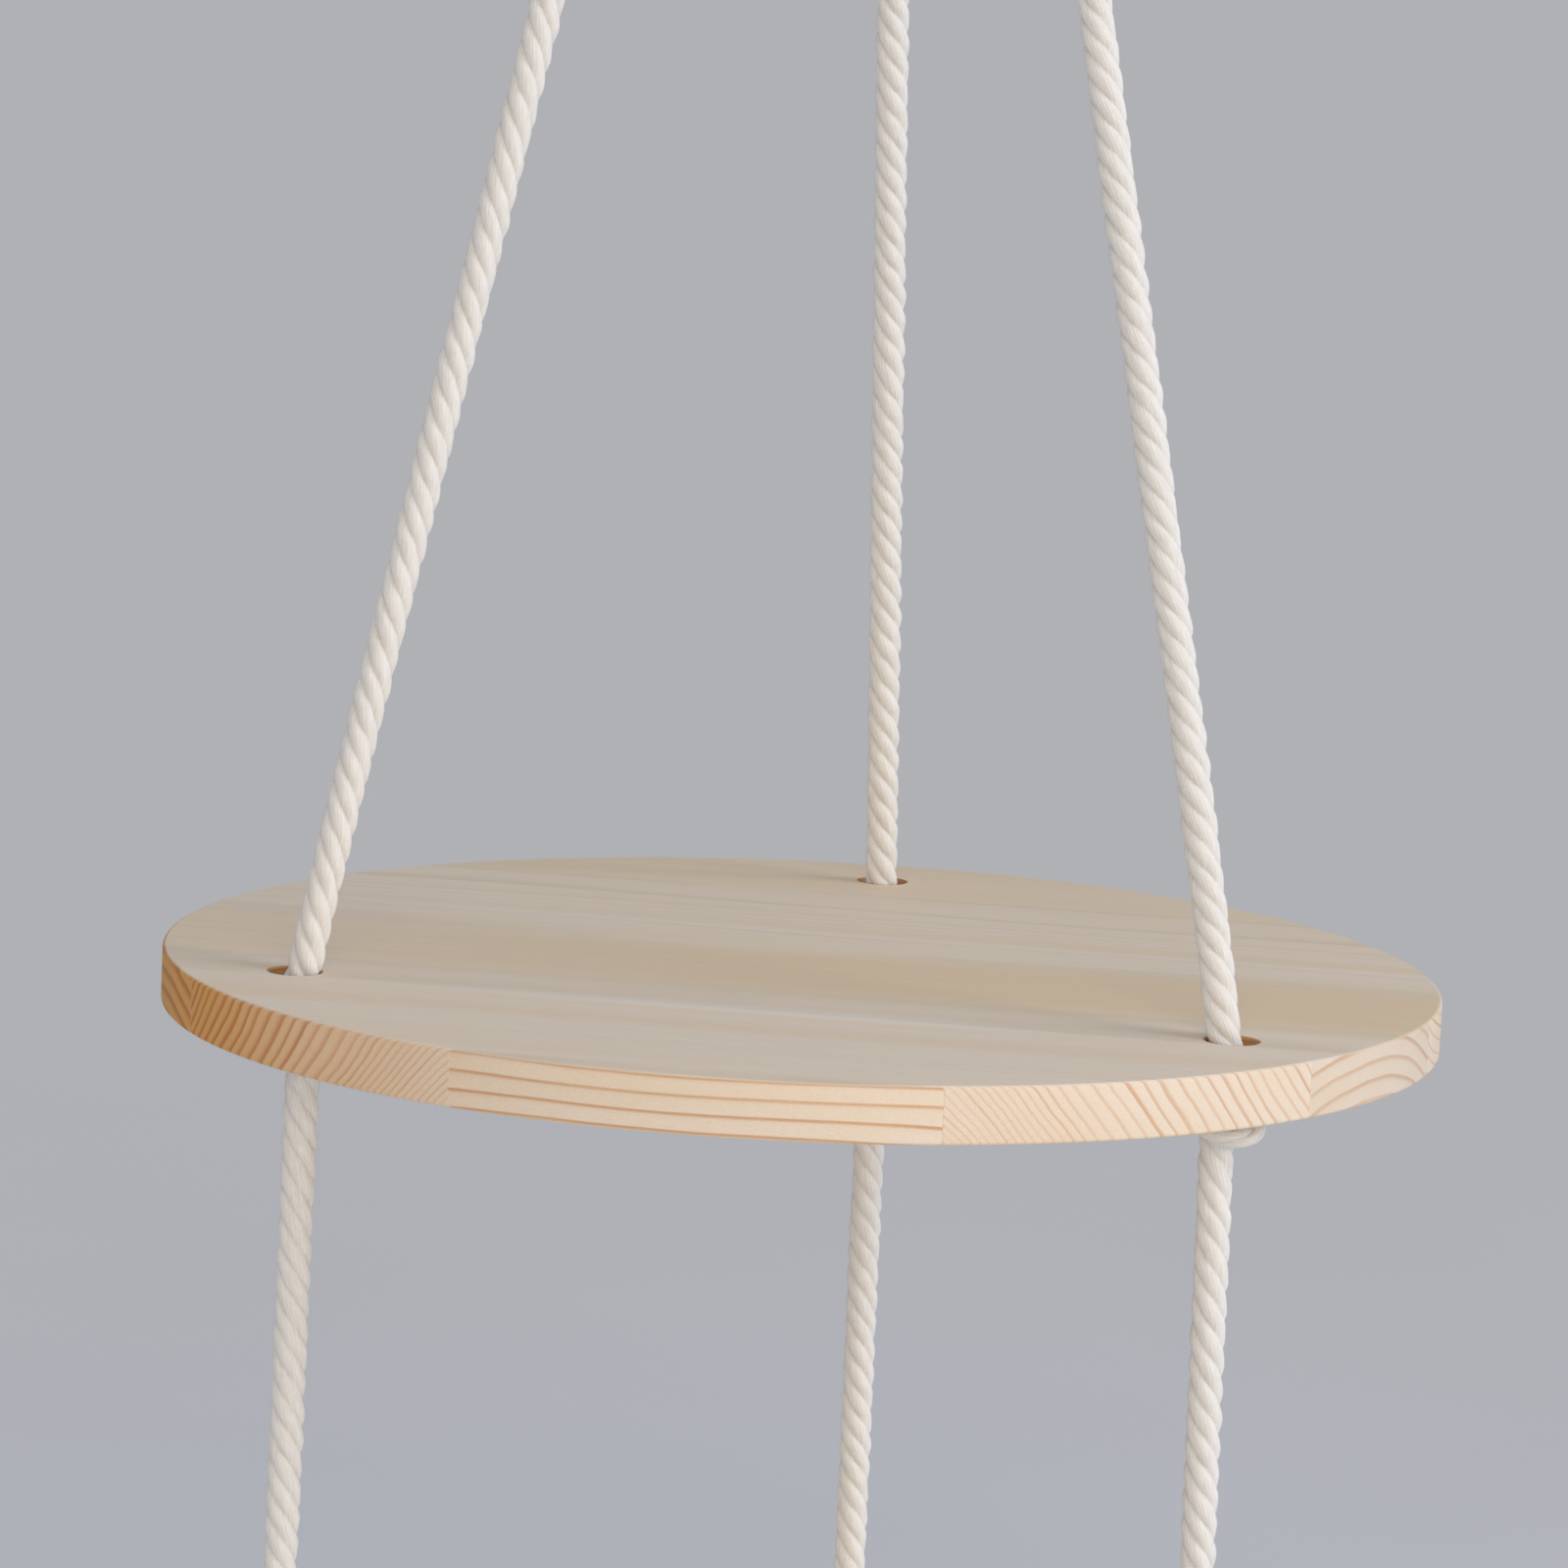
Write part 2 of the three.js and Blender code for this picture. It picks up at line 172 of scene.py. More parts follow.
def new_piece(name, vertices, quads, triangles, material, uvs=None, smooth_quads=True):
    """A mesh of quads, shaded smooth, and of triangles, shaded flat. uvs gives each corner's place
    on the surface, quads first."""
    quads = np.asarray(quads, np.int32).reshape(-1, 4)
    triangles = np.asarray(triangles, np.int32).reshape(-1, 3)
    mesh = bpy.data.meshes.new(name)
    mesh.vertices.add(len(vertices))
    mesh.vertices.foreach_set("co", np.asarray(vertices, np.float32).ravel())
    corners = np.concatenate([quads.ravel(), triangles.ravel()])
    mesh.loops.add(len(corners))
    mesh.loops.foreach_set("vertex_index", corners)
    counts = np.concatenate([np.full(len(quads), 4), np.full(len(triangles), 3)])
    starts = np.concatenate([[0], np.cumsum(counts)[:-1]])
    mesh.polygons.add(len(counts))
    mesh.polygons.foreach_set("loop_start", starts.astype(np.int32))
    mesh.polygons.foreach_set("use_smooth", (counts == 4) & smooth_quads)
    if uvs is not None:
        mesh.uv_layers.new(name="surface").data.foreach_set("uv", uvs.astype(np.float32).ravel())
    mesh.update(calc_edges=True)
    mesh.validate()
    piece = bpy.data.objects.new(name, mesh)
    bpy.context.scene.collection.objects.link(piece)
    piece.data.materials.append(material)
    return piece


def grid_faces(rings, columns):
    """Quads of a grid of rings that closes round its columns, facing out where the columns turn
    counter-clockwise about the way from ring to ring."""
    i, j = np.meshgrid(np.arange(rings - 1), np.arange(columns), indexing="ij")
    after = (j + 1) % columns
    corners = [i * columns + j, i * columns + after, (i + 1) * columns + after, (i + 1) * columns + j]
    return np.stack(corners, -1).reshape(-1, 4)


def unit(v):
    """Vectors of the same direction and of length 1."""
    return v / np.linalg.norm(v, axis=-1, keepdims=True)


def length_along(points):
    """Length of a line from its first point to each of its points."""
    steps = np.linalg.norm(np.diff(points, axis=0), axis=1)
    return np.concatenate([[0], np.cumsum(steps)])


def eased(share):
    """A share held between 0 and 1 and eased at both ends: three of its squares less two cubes."""
    share = np.clip(share, 0, 1)
    return share * share * (3 - 2 * share)


def turned_round(points, angle):
    """Points turned about the upright, counter-clockwise from above."""
    c, s = math.cos(angle), math.sin(angle)
    return points @ np.array([[c, s, 0], [-s, c, 0], [0, 0, 1]])


def catmull_rom(points, count):
    """Centripetal Catmull-Rom curve: each span is the cubic whose end slopes come from the square
    roots of the distances to the neighbours. Gives count points a span, and the last point."""
    p = np.vstack([2 * points[0] - points[1], points, 2 * points[-1] - points[-2]])
    gap = np.sqrt(np.linalg.norm(np.diff(p, axis=0), axis=1))[:, None]
    chord = np.diff(p, axis=0) / gap
    across = (p[2:] - p[:-2]) / (gap[1:] + gap[:-1])
    start = (chord[:-2] - across[:-1] + chord[1:-1]) * gap[1:-1]
    end = (chord[1:-1] - across[1:] + chord[2:]) * gap[1:-1]
    t = np.linspace(0, 1, count, endpoint=False)[None, :, None]
    a, b = p[1:-2, None], p[2:-1, None]
    curve = (
        (2 * t ** 3 - 3 * t ** 2 + 1) * a + (t ** 3 - 2 * t ** 2 + t) * start[:, None]
        + (3 * t ** 2 - 2 * t ** 3) * b + (t ** 3 - t ** 2) * end[:, None]
    )
    return np.vstack([curve.reshape(-1, 3), points[-1:]])


def carried_frames(points, first_side):
    """Two directions square to the path at each point, carried along it with the least turning:
    each step mirrors the frame in the chord and then in the change of heading."""
    heading = unit(np.gradient(points, axis=0))
    no_change = 1e-18
    side = np.empty_like(points)
    side[0] = unit(first_side - heading[0] * (first_side @ heading[0]))
    for i in range(len(points) - 1):
        chord = points[i + 1] - points[i]
        c = chord @ chord
        mirrored_side = side[i] - chord * (2 * (chord @ side[i]) / c)
        mirrored_heading = heading[i] - chord * (2 * (chord @ heading[i]) / c)
        change = heading[i + 1] - mirrored_heading
        c = max(change @ change, no_change)
        side[i + 1] = mirrored_side - change * (2 * (change @ mirrored_side) / c)
    return side, np.cross(heading, side)


def wander(along, rng, wavelengths):
    """A smooth, seeded unevenness of about one unit: a sum of sines, one for each wavelength."""
    total = np.zeros_like(along)
    for wavelength in wavelengths:
        total += np.sin(2 * np.pi * along / wavelength + rng.uniform(0, 2 * np.pi))
    return total / len(wavelengths)


# Camera and light

PHOTO_LENS = 144.1
PHOTO_AZIMUTH = math.radians(9.22)
PHOTO_ELEVATION = math.radians(8.34)
PHOTO_ROLL = math.radians(2.57)
PHOTO_PLACE = Vector((0.22703, -1.43781, 0.25509))


def make_camera():
    """The photograph's camera, measured from the middle of the upper board's top face."""
    camera = bpy.data.objects.new("camera", bpy.data.cameras.new("camera"))
    bpy.context.scene.collection.objects.link(camera)
    camera.data.lens = PHOTO_LENS
    camera.data.sensor_width = 36
    camera.data.clip_start = 0.05
    camera.data.clip_end = 60
    a, e = PHOTO_AZIMUTH, PHOTO_ELEVATION
    back = Vector((math.sin(a) * math.cos(e), -math.cos(a) * math.cos(e), math.sin(e)))
    level = Vector((math.cos(a), math.sin(a), 0))
    upright = back.cross(level)
    right = level * math.cos(PHOTO_ROLL) + upright * math.sin(PHOTO_ROLL)
    up = back.cross(right)
    camera.matrix_world = Matrix((
        (right.x, up.x, back.x, PHOTO_PLACE.x),
        (right.y, up.y, back.y, PHOTO_PLACE.y),
        (right.z, up.z, back.z, PHOTO_PLACE.z + upper_board_z),
        (0, 0, 0, 1),
    ))
    bpy.context.scene.camera = camera


# Lamps: name, azimuth from the front towards the right and elevation in degrees, distance and
# size in metres, power in watts, tint
LAMPS = [
    ("side_window_lamp", 80, 24, 9, 5.4, 370, "#F3F6FF"),
    ("front_fill_lamp", 14, 9, 6, 4, 165, "#FFEFD8"),
]
ROOM_LEVEL = 0.46
WALL_COLOUR = "#B0B1B5"
ROOM_TINT = "#F2F6FF"

# The floor lies so far below the object, is so wide, and turns into the wall between two distances
FLOOR_DROP = 0.16
FLOOR_SIZE = 160
FLOOR_FADE_START = 0.5
FLOOR_FADE_END = 2.8
FLOOR_CLOUDS_A_METRE = 3


def make_lamps():
    """A large soft lamp at the right, as from a window, and a weaker one in front."""
    middle = Vector((0, 0, upper_board_z))
    for name, azimuth, elevation, distance, size, power, tint in LAMPS:
        a, e = math.radians(azimuth), math.radians(elevation)
        towards = Vector((math.sin(a) * math.cos(e), -math.cos(a) * math.cos(e), math.sin(e)))
        lamp = bpy.data.lights.new(name, "AREA")
        lamp.shape, lamp.size, lamp.energy = "DISK", size, power
        lamp.color = linear(tint)[:3]
        holder = bpy.data.objects.new(name, lamp)
        bpy.context.scene.collection.objects.link(holder)
        holder.location = middle + towards * distance
        holder.rotation_euler = (-towards).to_track_quat("-Z", "Y").to_euler()
        holder.visible_camera = False


def seen_by(tree, *rays):
    """1 where one of the named kinds of ray looks straight at it, and 0 elsewhere."""
    path = add(tree, "LightPath").outputs
    seen = path[rays[0]]
    for ray in rays[1:]:
        seen = add(tree, "Math", {0: seen, 1: path[ray]}, operation="MAXIMUM")
    return seen


def make_room():
    """Even pale light from all around, which the camera and reflections see as a plain grey wall."""
    world = bpy.data.worlds.new("room")
    bpy.context.scene.world = world
    world.use_nodes = True
    tree = world.node_tree
    tree.nodes.clear()
    seen = seen_by(tree, "Is Camera Ray", "Is Glossy Ray", "Is Transmission Ray")
    light = add(tree, "Background", {"Color": linear(ROOM_TINT), "Strength": ROOM_LEVEL})
    wall = add(tree, "Background", {"Color": linear(WALL_COLOUR), "Strength": 1})
    mix = add(tree, "MixShader", {0: seen, 1: light, 2: wall})
    add(tree, "OutputWorld", {"Surface": mix})


def make_floor():
    """Matt painted floor, which shows as an even pale grey with faint clouds and no shine. Far off
    it turns into the plain wall, for the camera and for reflections."""
    material, tree = new_material("matt_painted_floor")
    place = add(tree, "TexCoord").outputs["Object"]
    clouds = add(tree, "TexNoise", {"Vector": place, "Scale": FLOOR_CLOUDS_A_METRE})
    tone = add(tree, "ValToRGB", {"Fac": clouds}, [(0.3, "#DBDCDF"), (0.7, "#DFE0E3")])
    surface = add(tree, "BsdfDiffuse", {"Color": tone})
    parts = add(tree, "SeparateXYZ", {0: place}).outputs
    level = add(tree, "CombineXYZ", {0: parts["X"], 1: parts["Y"]})
    off = add(tree, "VectorMath", {0: level}, operation="LENGTH")
    far = add(tree, "MapRange", {0: off, 1: FLOOR_FADE_START, 2: FLOOR_FADE_END},
              interpolation_type="SMOOTHSTEP")
    seen = seen_by(tree, "Is Camera Ray", "Is Glossy Ray")
    share = add(tree, "Math", {0: far, 1: seen}, operation="MULTIPLY")
    wall = add(tree, "Emission", {"Color": linear(WALL_COLOUR), "Strength": 1})
    mix = add(tree, "MixShader", {0: share, 1: surface, 2: wall})
    add(tree, "OutputMaterial", {"Surface": mix})

    s = FLOOR_SIZE / 2
    z = cad_box[0].z - FLOOR_DROP
    corners = [(-s, -s, z), (s, -s, z), (s, s, z), (-s, s, z)]
    new_piece("floor", corners, [(0, 1, 2, 3)], [], material, smooth_quads=False)


def make_studio():
    """Lamps, room and floor, at a level of light where a colour renders about as it is written."""
    make_lamps()
    make_room()
    make_floor()
    bpy.context.scene.view_settings.view_transform = "Standard"


# Cotton: combed yarns, undyed, in four strands laid to the left. It is matte and softly lit, with
# fine ridges where the yarns run nearly along the rope, painted shade that makes the grooves a
# little darker than the strands, and a bloom of loose fibres. Light sinks a few millimetres in and
# comes out again. 30 yarns round the rope put the ridges 0.8 mm apart. The fibres are too fine to
# show one by one, so they are drawn as tufts narrower than a yarn and as fluff.

YARNS_ROUND = 30
YARN_WANDER = 0.9
FLUFF_SIZE = 1.1 * MM

# So many tufts lie across one yarn, and as many along a stretch of so much rope
TUFTS_A_YARN = 1.7
TUFT_STRETCH = 9 * MM

# Heights of the tufts and of the fluff, as shares of a yarn's ridge
TUFT_HEIGHT = 1.1
FLUFF_HEIGHT = 0.9

# Share of the painted groove shade right in the groove, and how far out of the groove it ends
GROOVE_SHADE_SHARE = 0.08
GROOVE_SHADE_END = 0.7

# Share of the light that sinks in, away from the cut ends, and how deep
LIGHT_SHARE = 0.85
LIGHT_DEPTH = 2.2 * MM


def make_cotton(name, light, shade, groove, ridge_depth):
    """Cotton on a rope's own places: yarns counted round it, and millimetres along it. A yarn's
    ridge is a wave across it, and tufts and fluff are added to that."""
    material, tree = new_material(name)
    place = add(tree, "UVMap", uv_map="surface")
    stretch = add(tree, "Mapping", {"Vector": place, "Scale": (1, MM / TUFT_STRETCH, 1)})
    tufts = add(tree, "TexNoise", {
        "Vector": stretch, "Scale": TUFTS_A_YARN, "Detail": 5, "Roughness": 0.62,
        "Distortion": YARN_WANDER,
    })
    fluff = add(tree, "TexNoise", {
        "Vector": add(tree, "TexCoord").outputs["Object"], "Scale": 1 / FLUFF_SIZE, "Detail": 4,
        "Roughness": 0.7,
    })
    tone = add(tree, "ValToRGB", {"Fac": tufts}, [(0.32, shade), (0.6, light)])
    # Painted shade: the groove colour is mixed in towards the grooves, where the crown falls off
    crown = add(tree, "Attribute", attribute_name="crown").outputs["Fac"]
    groove_shade = add(tree, "MapRange", {0: crown, 1: 0, 2: GROOVE_SHADE_END, 3: GROOVE_SHADE_SHARE, 4: 0})
    colour = add(tree, "Mix", {"Factor": groove_shade, 6: tone, 7: linear(groove)}, data_type="RGBA")

    # A ridge for each yarn, which wanders with the tufts
    yarns = add(tree, "SeparateXYZ", {0: place}).outputs["X"]
    yarns = add(tree, "Math", {0: tufts, 1: YARN_WANDER, 2: yarns}, operation="MULTIPLY_ADD")
    half_yarn = 0.5
    ridges = add(tree, "Math", {0: yarns, 1: half_yarn}, operation="PINGPONG")
    heights = add(tree, "MapRange", {0: ridges, 2: half_yarn}, interpolation_type="SMOOTHSTEP")
    for pattern, height in ((tufts, TUFT_HEIGHT), (fluff, FLUFF_HEIGHT)):
        heights = add(tree, "Math", {0: pattern, 1: height, 2: heights},
                      operation="MULTIPLY_ADD")
    bump = add(tree, "Bump", {"Height": heights, "Strength": 0.42, "Distance": ridge_depth})

    inside = add(tree, "Attribute", attribute_name="inside").outputs["Fac"]
    glow = add(tree, "Math", {0: inside, 1: LIGHT_SHARE}, operation="MULTIPLY")
    surface = add(tree, "BsdfPrincipled", {
        "Base Color": colour, "Roughness": 0.92, "Sheen Weight": 0.25, "Sheen Roughness": 0.4,
        "Normal": bump, "Specular IOR Level": 0.25, "Subsurface Weight": glow,
        "Subsurface Radius": (1.0, 0.92, 0.85), "Subsurface Scale": LIGHT_DEPTH,
    })
    add(tree, "OutputMaterial", {"Surface": surface})
    return material


# Four-strand rope. The section is four rounded crowns with a narrow groove between them, and it
# turns to the left along the rope.

LAY_LENGTH = 3.2 * ROPE_DIAMETER
STRANDS = 4
COLUMNS_A_STRAND = 12
CROWN_FALL = 0.13
GROOVE_DEPTH = 0.075
GROOVE_WIDTH = math.radians(15)
STEP_ALONG = 0.85 * MM
KNOT_STEP = 0.45 * MM
CLOSE_RINGS = np.array([0.04, 0.14, 0.32]) * MM
CURVE_STEPS = 24

# Unevenness of a rope: wavelengths along it, and how much it changes the turn in radians, a
# strand's radius, the whole rope's radius and a groove's depth
TURN_WAVES, TURN_CHANGE = (61 * MM, 97 * MM), 0.12
STRAND_WAVES, STRAND_CHANGE = (6 * MM, 11 * MM, 19 * MM), 0.05
ROPE_WAVES, ROPE_CHANGE = (43 * MM, 71 * MM), 0.012
GROOVE_WAVES, GROOVE_CHANGE = (7 * MM, 12 * MM, 19 * MM), 0.8
DEEPEST_GROOVE = 1.3

# How much of the strands' turn the yarns take back, to run nearly along the rope
YARNS_TURN_BACK = 0.72

# The fade of the light that sinks in, from a cut end, and how far out of a groove a cut end counts
CUT_FADE = 6 * MM
CUT_CROWN = 0.4

# The rope in a knot is thinner but swells between its turns, and it starts so far inside the knot
KNOT_ROPE_SWELL = 1.22
NECK_IN_KNOT = 1.8 * MM

# A knot is pressed flat against the board, this softly, and rises this steeply into the hole
KNOT_PRESS = 0.2 * MM
KNOT_RISE_IN_HOLE = 3

# The upper ropes lean on the inner edges of their holes, by so much past a straight line
HOLE_LEAN = 0.6 * MM

# How far the bend below the whipping cuts its corner, as a share of what the slope gains over it
BEND_CUT = 0.3


def rope_section():
    """Columns round the rope, crowded towards the grooves: angle of each, its height in the
    section without the grooves, as a share of the radius, its strand, how far out of the groove
    it is, from 0 to 1, and its place across its strand, from 0 to 1."""
    t = np.linspace(-1, 1, COLUMNS_A_STRAND, endpoint=False)
    half = np.pi / STRANDS
    crowded = np.sin(np.pi / 2 * t)
    within = half * crowded
    to_groove = (half - np.abs(within)) / GROOVE_WIDTH
    height = 1 - CROWN_FALL * (within / half) ** 2
    crown = 1 - np.exp(-to_groove ** 2)
    angles = np.concatenate([within + 2 * half * k for k in range(STRANDS)])
    strand = np.repeat(np.arange(STRANDS), COLUMNS_A_STRAND)
    height, crown, across = (np.tile(row, STRANDS) for row in (height, crown, crowded / 2 + 0.5))
    return angles, height, strand, crown, across


COLUMN_ANGLE, COLUMN_HEIGHT, COLUMN_STRAND, COLUMN_CROWN, COLUMN_ACROSS = rope_section()


def twisted_surface(centres, side, other, radius, along, lay, rng):
    """Surface of a twisted rope: at each ring the section is scaled by the radius and turned by
    minus one turn for each lay length along the rope. Each strand swells and thins a little, and
    each groove deepens and fills."""
    strand = COLUMN_STRAND
    turn = -2 * np.pi * along / lay + TURN_CHANGE * wander(along, rng, TURN_WAVES)
    swell = np.stack([wander(along, rng, STRAND_WAVES) for _ in range(STRANDS)], 1)
    whole = 1 + ROPE_CHANGE * wander(along, rng, ROPE_WAVES)
    depth = 1 + GROOVE_CHANGE * np.stack(
        [wander(along, rng, GROOVE_WAVES) for _ in range(STRANDS)], 1)
    after = (strand + 1) % STRANDS
    groove = depth[:, strand] * (1 - COLUMN_ACROSS) + depth[:, after] * COLUMN_ACROSS
    height = COLUMN_HEIGHT - GROOVE_DEPTH * groove * (1 - COLUMN_CROWN)
    reach = height * (1 + STRAND_CHANGE * swell[:, strand]) * (radius * whole)[:, None]
    a = COLUMN_ANGLE + turn[:, None]
    points = centres[:, None] + reach[..., None] * (
        np.cos(a)[..., None] * side[:, None] + np.sin(a)[..., None] * other[:, None]
    )
    return points, turn, 1 - (1 - COLUMN_CROWN) * np.clip(groove, 0, DEEPEST_GROOVE)


def surface_places(turn, along, rings, columns):
    """Each quad corner's place on the rope: yarns counted round it, and millimetres along it. The
    yarns run nearly along the rope, so their count takes the turn of the strands back."""
    i, j = np.meshgrid(np.arange(rings - 1), np.arange(columns), indexing="ij")
    ring = np.stack([i, i, i + 1, i + 1], -1)
    column = np.stack([j, j + 1, j + 1, j], -1)
    angle = COLUMN_ANGLE[column % columns] + 2 * np.pi * (column == columns)
    yarns = (angle + YARNS_TURN_BACK * turn[ring]) / (2 * np.pi) * YARNS_ROUND
    return np.stack([yarns, along[ring] / MM], -1).reshape(-1, 2)


def rope_piece(name, rope, first, last, material):
    """The stretch of a whole rope between two of its rings, closed at both ends by a fan of
    triangles round the ring's middle."""
    surface, turn, along, crown = (
        rope[key][first:last + 1] for key in ("surface", "turn", "along", "crown"))
    rings, columns = surface.shape[:2]
    vertices = surface.reshape(-1, 3)
    quads = grid_faces(rings, columns)
    centres = surface[[0, -1]].mean(1)
    base = len(vertices)
    j = np.arange(columns)
    after = (j + 1) % columns
    end = (rings - 1) * columns
    caps = np.concatenate([
        np.stack([np.full(columns, base), after, j], -1),
        np.stack([np.full(columns, base + 1), end + j, end + after], -1),
    ])
    corner_uv = surface_places(turn, along, rings, columns)
    cap_uv = np.zeros((caps.size, 2)) + corner_uv[0]
    piece = new_piece(name, np.vstack([vertices, centres]), quads, caps, material,
                      np.vstack([corner_uv, cap_uv]))
    inside = np.clip(np.minimum(along - along[0], along[-1] - along) / CUT_FADE, 0, 1)
    for attribute, values in (
        ("crown", [crown.ravel(), [CUT_CROWN, CUT_CROWN]]),
        ("inside", [np.repeat(inside, columns), [0, 0]]),
    ):
        piece.data.attributes.new(attribute, "FLOAT", "POINT").data.foreach_set(
            "value", np.concatenate(values).astype(np.float32))
    return piece


# Route of a rope. Its knots are drawn loose, in a space that is stretched upright round each
# knot, and the finished surface is then drawn tight against the boards.

# One half of an overhand knot, in turn spacings, from its middle to where it leaves downwards
KNOT_HALF_SHARES = np.array([
    [0.88, 0, 0], [0.85, 0.68, 0.56], [0.26, 1.06, 1.09], [-0.55, 0.9, 1.25], [-1.1, 0.28, 1.03],
    [-1.05, -0.37, 0.45], [-0.46, -0.54, -0.18], [0, -0.09, -0.77], [0, 0.03, -1.61],
])
knot_top_share = KNOT_HALF_SHARES[:, 2].max()
knot_half_height = (knot_top_share * KNOT_TURN_SPACING + KNOT_ROPE / 2) * KNOT_FLATTENING


def knot_centre_z(board_z):
    """Height of the middle of a knot that sits close under its board."""
    return board_z - BOARD_THICKNESS - KNOT_SEAT - knot_half_height


upper_knot_z = knot_centre_z(upper_board_z)
lower_knot_z = knot_centre_z(lower_board_z)
upper_seam_z = upper_board_z - BOARD_THICKNESS + SEAM_HEIGHT
lower_seam_z = lower_board_z - BOARD_THICKNESS + SEAM_HEIGHT
sway_z = upper_knot_z - knot_half_height - 2 * KNOT_NECK
tail_end_z = lower_knot_z - knot_half_height - TAIL_LENGTH
lower_top_radius = hole_circle_radius - KNOT_EXIT_SHIFT

above_all_z = 20 * MM
tight_z = np.array([above_all_z, upper_seam_z, sway_z, lower_seam_z, tail_end_z])
loose_steps = np.diff(tight_z) / np.array([1, KNOT_DRAWN_FLATTENING, 1, KNOT_DRAWN_FLATTENING])
loose_z = tight_z[0] + np.concatenate([[0], np.cumsum(loose_steps)])


def loosened(z):
    """Height in the space that is stretched round the knots."""
    return np.interp(z, tight_z[::-1], loose_z[::-1])


def tightened(z):
    """Height back in real space."""
    return np.interp(z, loose_z[::-1], tight_z[::-1])


def sloping_radius(z):
    """Distance of an upper rope from the middle line, growing evenly below the gathering."""
    return bundle_radius + (gather_z - z) * rope_slope


def knot_route(knot_z, exit_shift, turned):
    """Overhand knot from its top to its bottom, in the rope's own frame and in loose space: one
    half, and the same half turned over, turned together about the upright. It leaves its turns
    right above the rope below it."""
    outwards = KNOT_HALF_SHARES * KNOT_TURN_SPACING * [1, 1, KNOT_DRAWN_HEIGHT]
    inwards = (outwards[1:] * [1, -1, -1])[::-1]
    turns = turned_round(np.vstack([inwards, outwards]), turned)
    turns[-1, :2] = 0, exit_shift
    return turns + np.array([0, -hole_circle_radius, loosened(knot_z)])


def down_route(turned):
    """Points of a rope from the whipping's bottom to its tail, in its own frame, where the hole
    lies towards -Y. Heights are loosened round the knots, which are turned by two angles."""
    def at(radius, z):
        return [0.0, -radius, loosened(z)]

    bend_middle = bundle_radius + BEND_CUT * BEND_REACH * rope_slope
    bend = [at(bundle_radius, gather_z + BEND_REACH), at(bend_middle, gather_z)]
    sloping = [at(sloping_radius(z), z) for z in (
        gather_z - BEND_REACH, gather_z - 3 * BEND_REACH, (gather_z + upper_board_z) / 2,
        upper_board_z + 3 * BOARD_THICKNESS,
    )]
    leaning = [at(sloping_radius(z) - lean, z) for z, lean in (
        (upper_board_z + BOARD_THICKNESS, HOLE_LEAN / 2), (upper_board_z, HOLE_LEAN),
        (upper_seam_z, 0),
    )]
    between = [
        at(lower_top_radius, upper_knot_z - knot_half_height - KNOT_NECK),
        at(lower_top_radius, sway_z - SWAY_GAP),
        at((lower_top_radius + hole_circle_radius) / 2, (sway_z + lower_seam_z) / 2),
        at(hole_circle_radius, lower_seam_z),
    ]
    below = [
        at(hole_circle_radius, lower_knot_z - knot_half_height - KNOT_NECK),
        at(hole_circle_radius, tail_end_z),
    ]
    return np.vstack([
        bend, sloping, leaning, knot_route(upper_knot_z, KNOT_EXIT_SHIFT, turned[0]), between,
        knot_route(lower_knot_z, 0, turned[1]), below,
    ])


BIGHT_ARC_STEPS = 6
BIGHT_SEAT_SHARE = 0.96


def bight_route(angle):
    """Points of a rope from its cut end in the whipping, up, in a half circle over the ring's
    wire, and down its long leg to the whipping's bottom."""
    leg_x = bundle_radius * math.cos(angle)
    leg_y = bundle_radius * math.sin(angle)
    bight_x = round(math.cos(angle)) * (ROPE_DIAMETER + BIGHT_GAP)
    wire_z = ring_centre_z - math.sqrt(wire_circle_radius ** 2 - bight_x ** 2)
    reach = RING_WIRE / 2 + BIGHT_SEAT_SHARE * rope_radius
    way = 1 if leg_y > 0 else -1
    a = np.linspace(0, np.pi, BIGHT_ARC_STEPS + 1)
    over = np.stack([
        np.full_like(a, bight_x), -way * reach * np.cos(a), wire_z + reach * np.sin(a),
    ], -1)
    heights = [whipping_bottom_z, (whipping_top_z + whipping_bottom_z) / 2, whipping_top_z]
    up = [[leg_x, -leg_y, z] for z in heights]
    down = [[leg_x, leg_y, z] for z in reversed(heights)]
    return np.vstack([up, over, down])


def evenly(points, step):
    """The same line with points an even step apart, and a few closer ones at its two ends, so that
    the shading runs on where the rope is divided."""
    along = length_along(points)
    places = np.linspace(0, along[-1], math.ceil(along[-1] / step) + 1)
    places = np.sort(np.concatenate([places, CLOSE_RINGS, along[-1] - CLOSE_RINGS]))
    return np.stack([np.interp(places, along, points[:, k]) for k in range(3)], -1)


def divided_line(angle, turned):
    """Middle line of a rope from end to end in loose space, ring by ring, in five stretches: the
    bight, the upper rope, the upper knot, the lower rope and the lower knot with its tail. Also
    the number of the ring where each stretch ends."""
    bight = bight_route(angle)
    down = turned_round(down_route(turned), angle + np.pi / 2)
    line = catmull_rom(np.vstack([bight, down]), CURVE_STEPS)
    cuts = [(len(bight) - 1) * CURVE_STEPS]
    for z in (upper_seam_z, sway_z, lower_seam_z):
        cuts.append(cuts[-1] + np.nonzero(line[cuts[-1]:, 2] < loosened(z))[0][0])
    ends = [0] + cuts + [len(line) - 1]
    steps = [STEP_ALONG, STEP_ALONG, KNOT_STEP, STEP_ALONG, KNOT_STEP]
    rings = [evenly(line[first:last + 1], step) for first, last, step in zip(ends, ends[1:], steps)]
    marks = np.cumsum([len(stretch) - 1 for stretch in rings])
    return np.vstack([rings[0]] + [stretch[1:] for stretch in rings[1:]]), marks


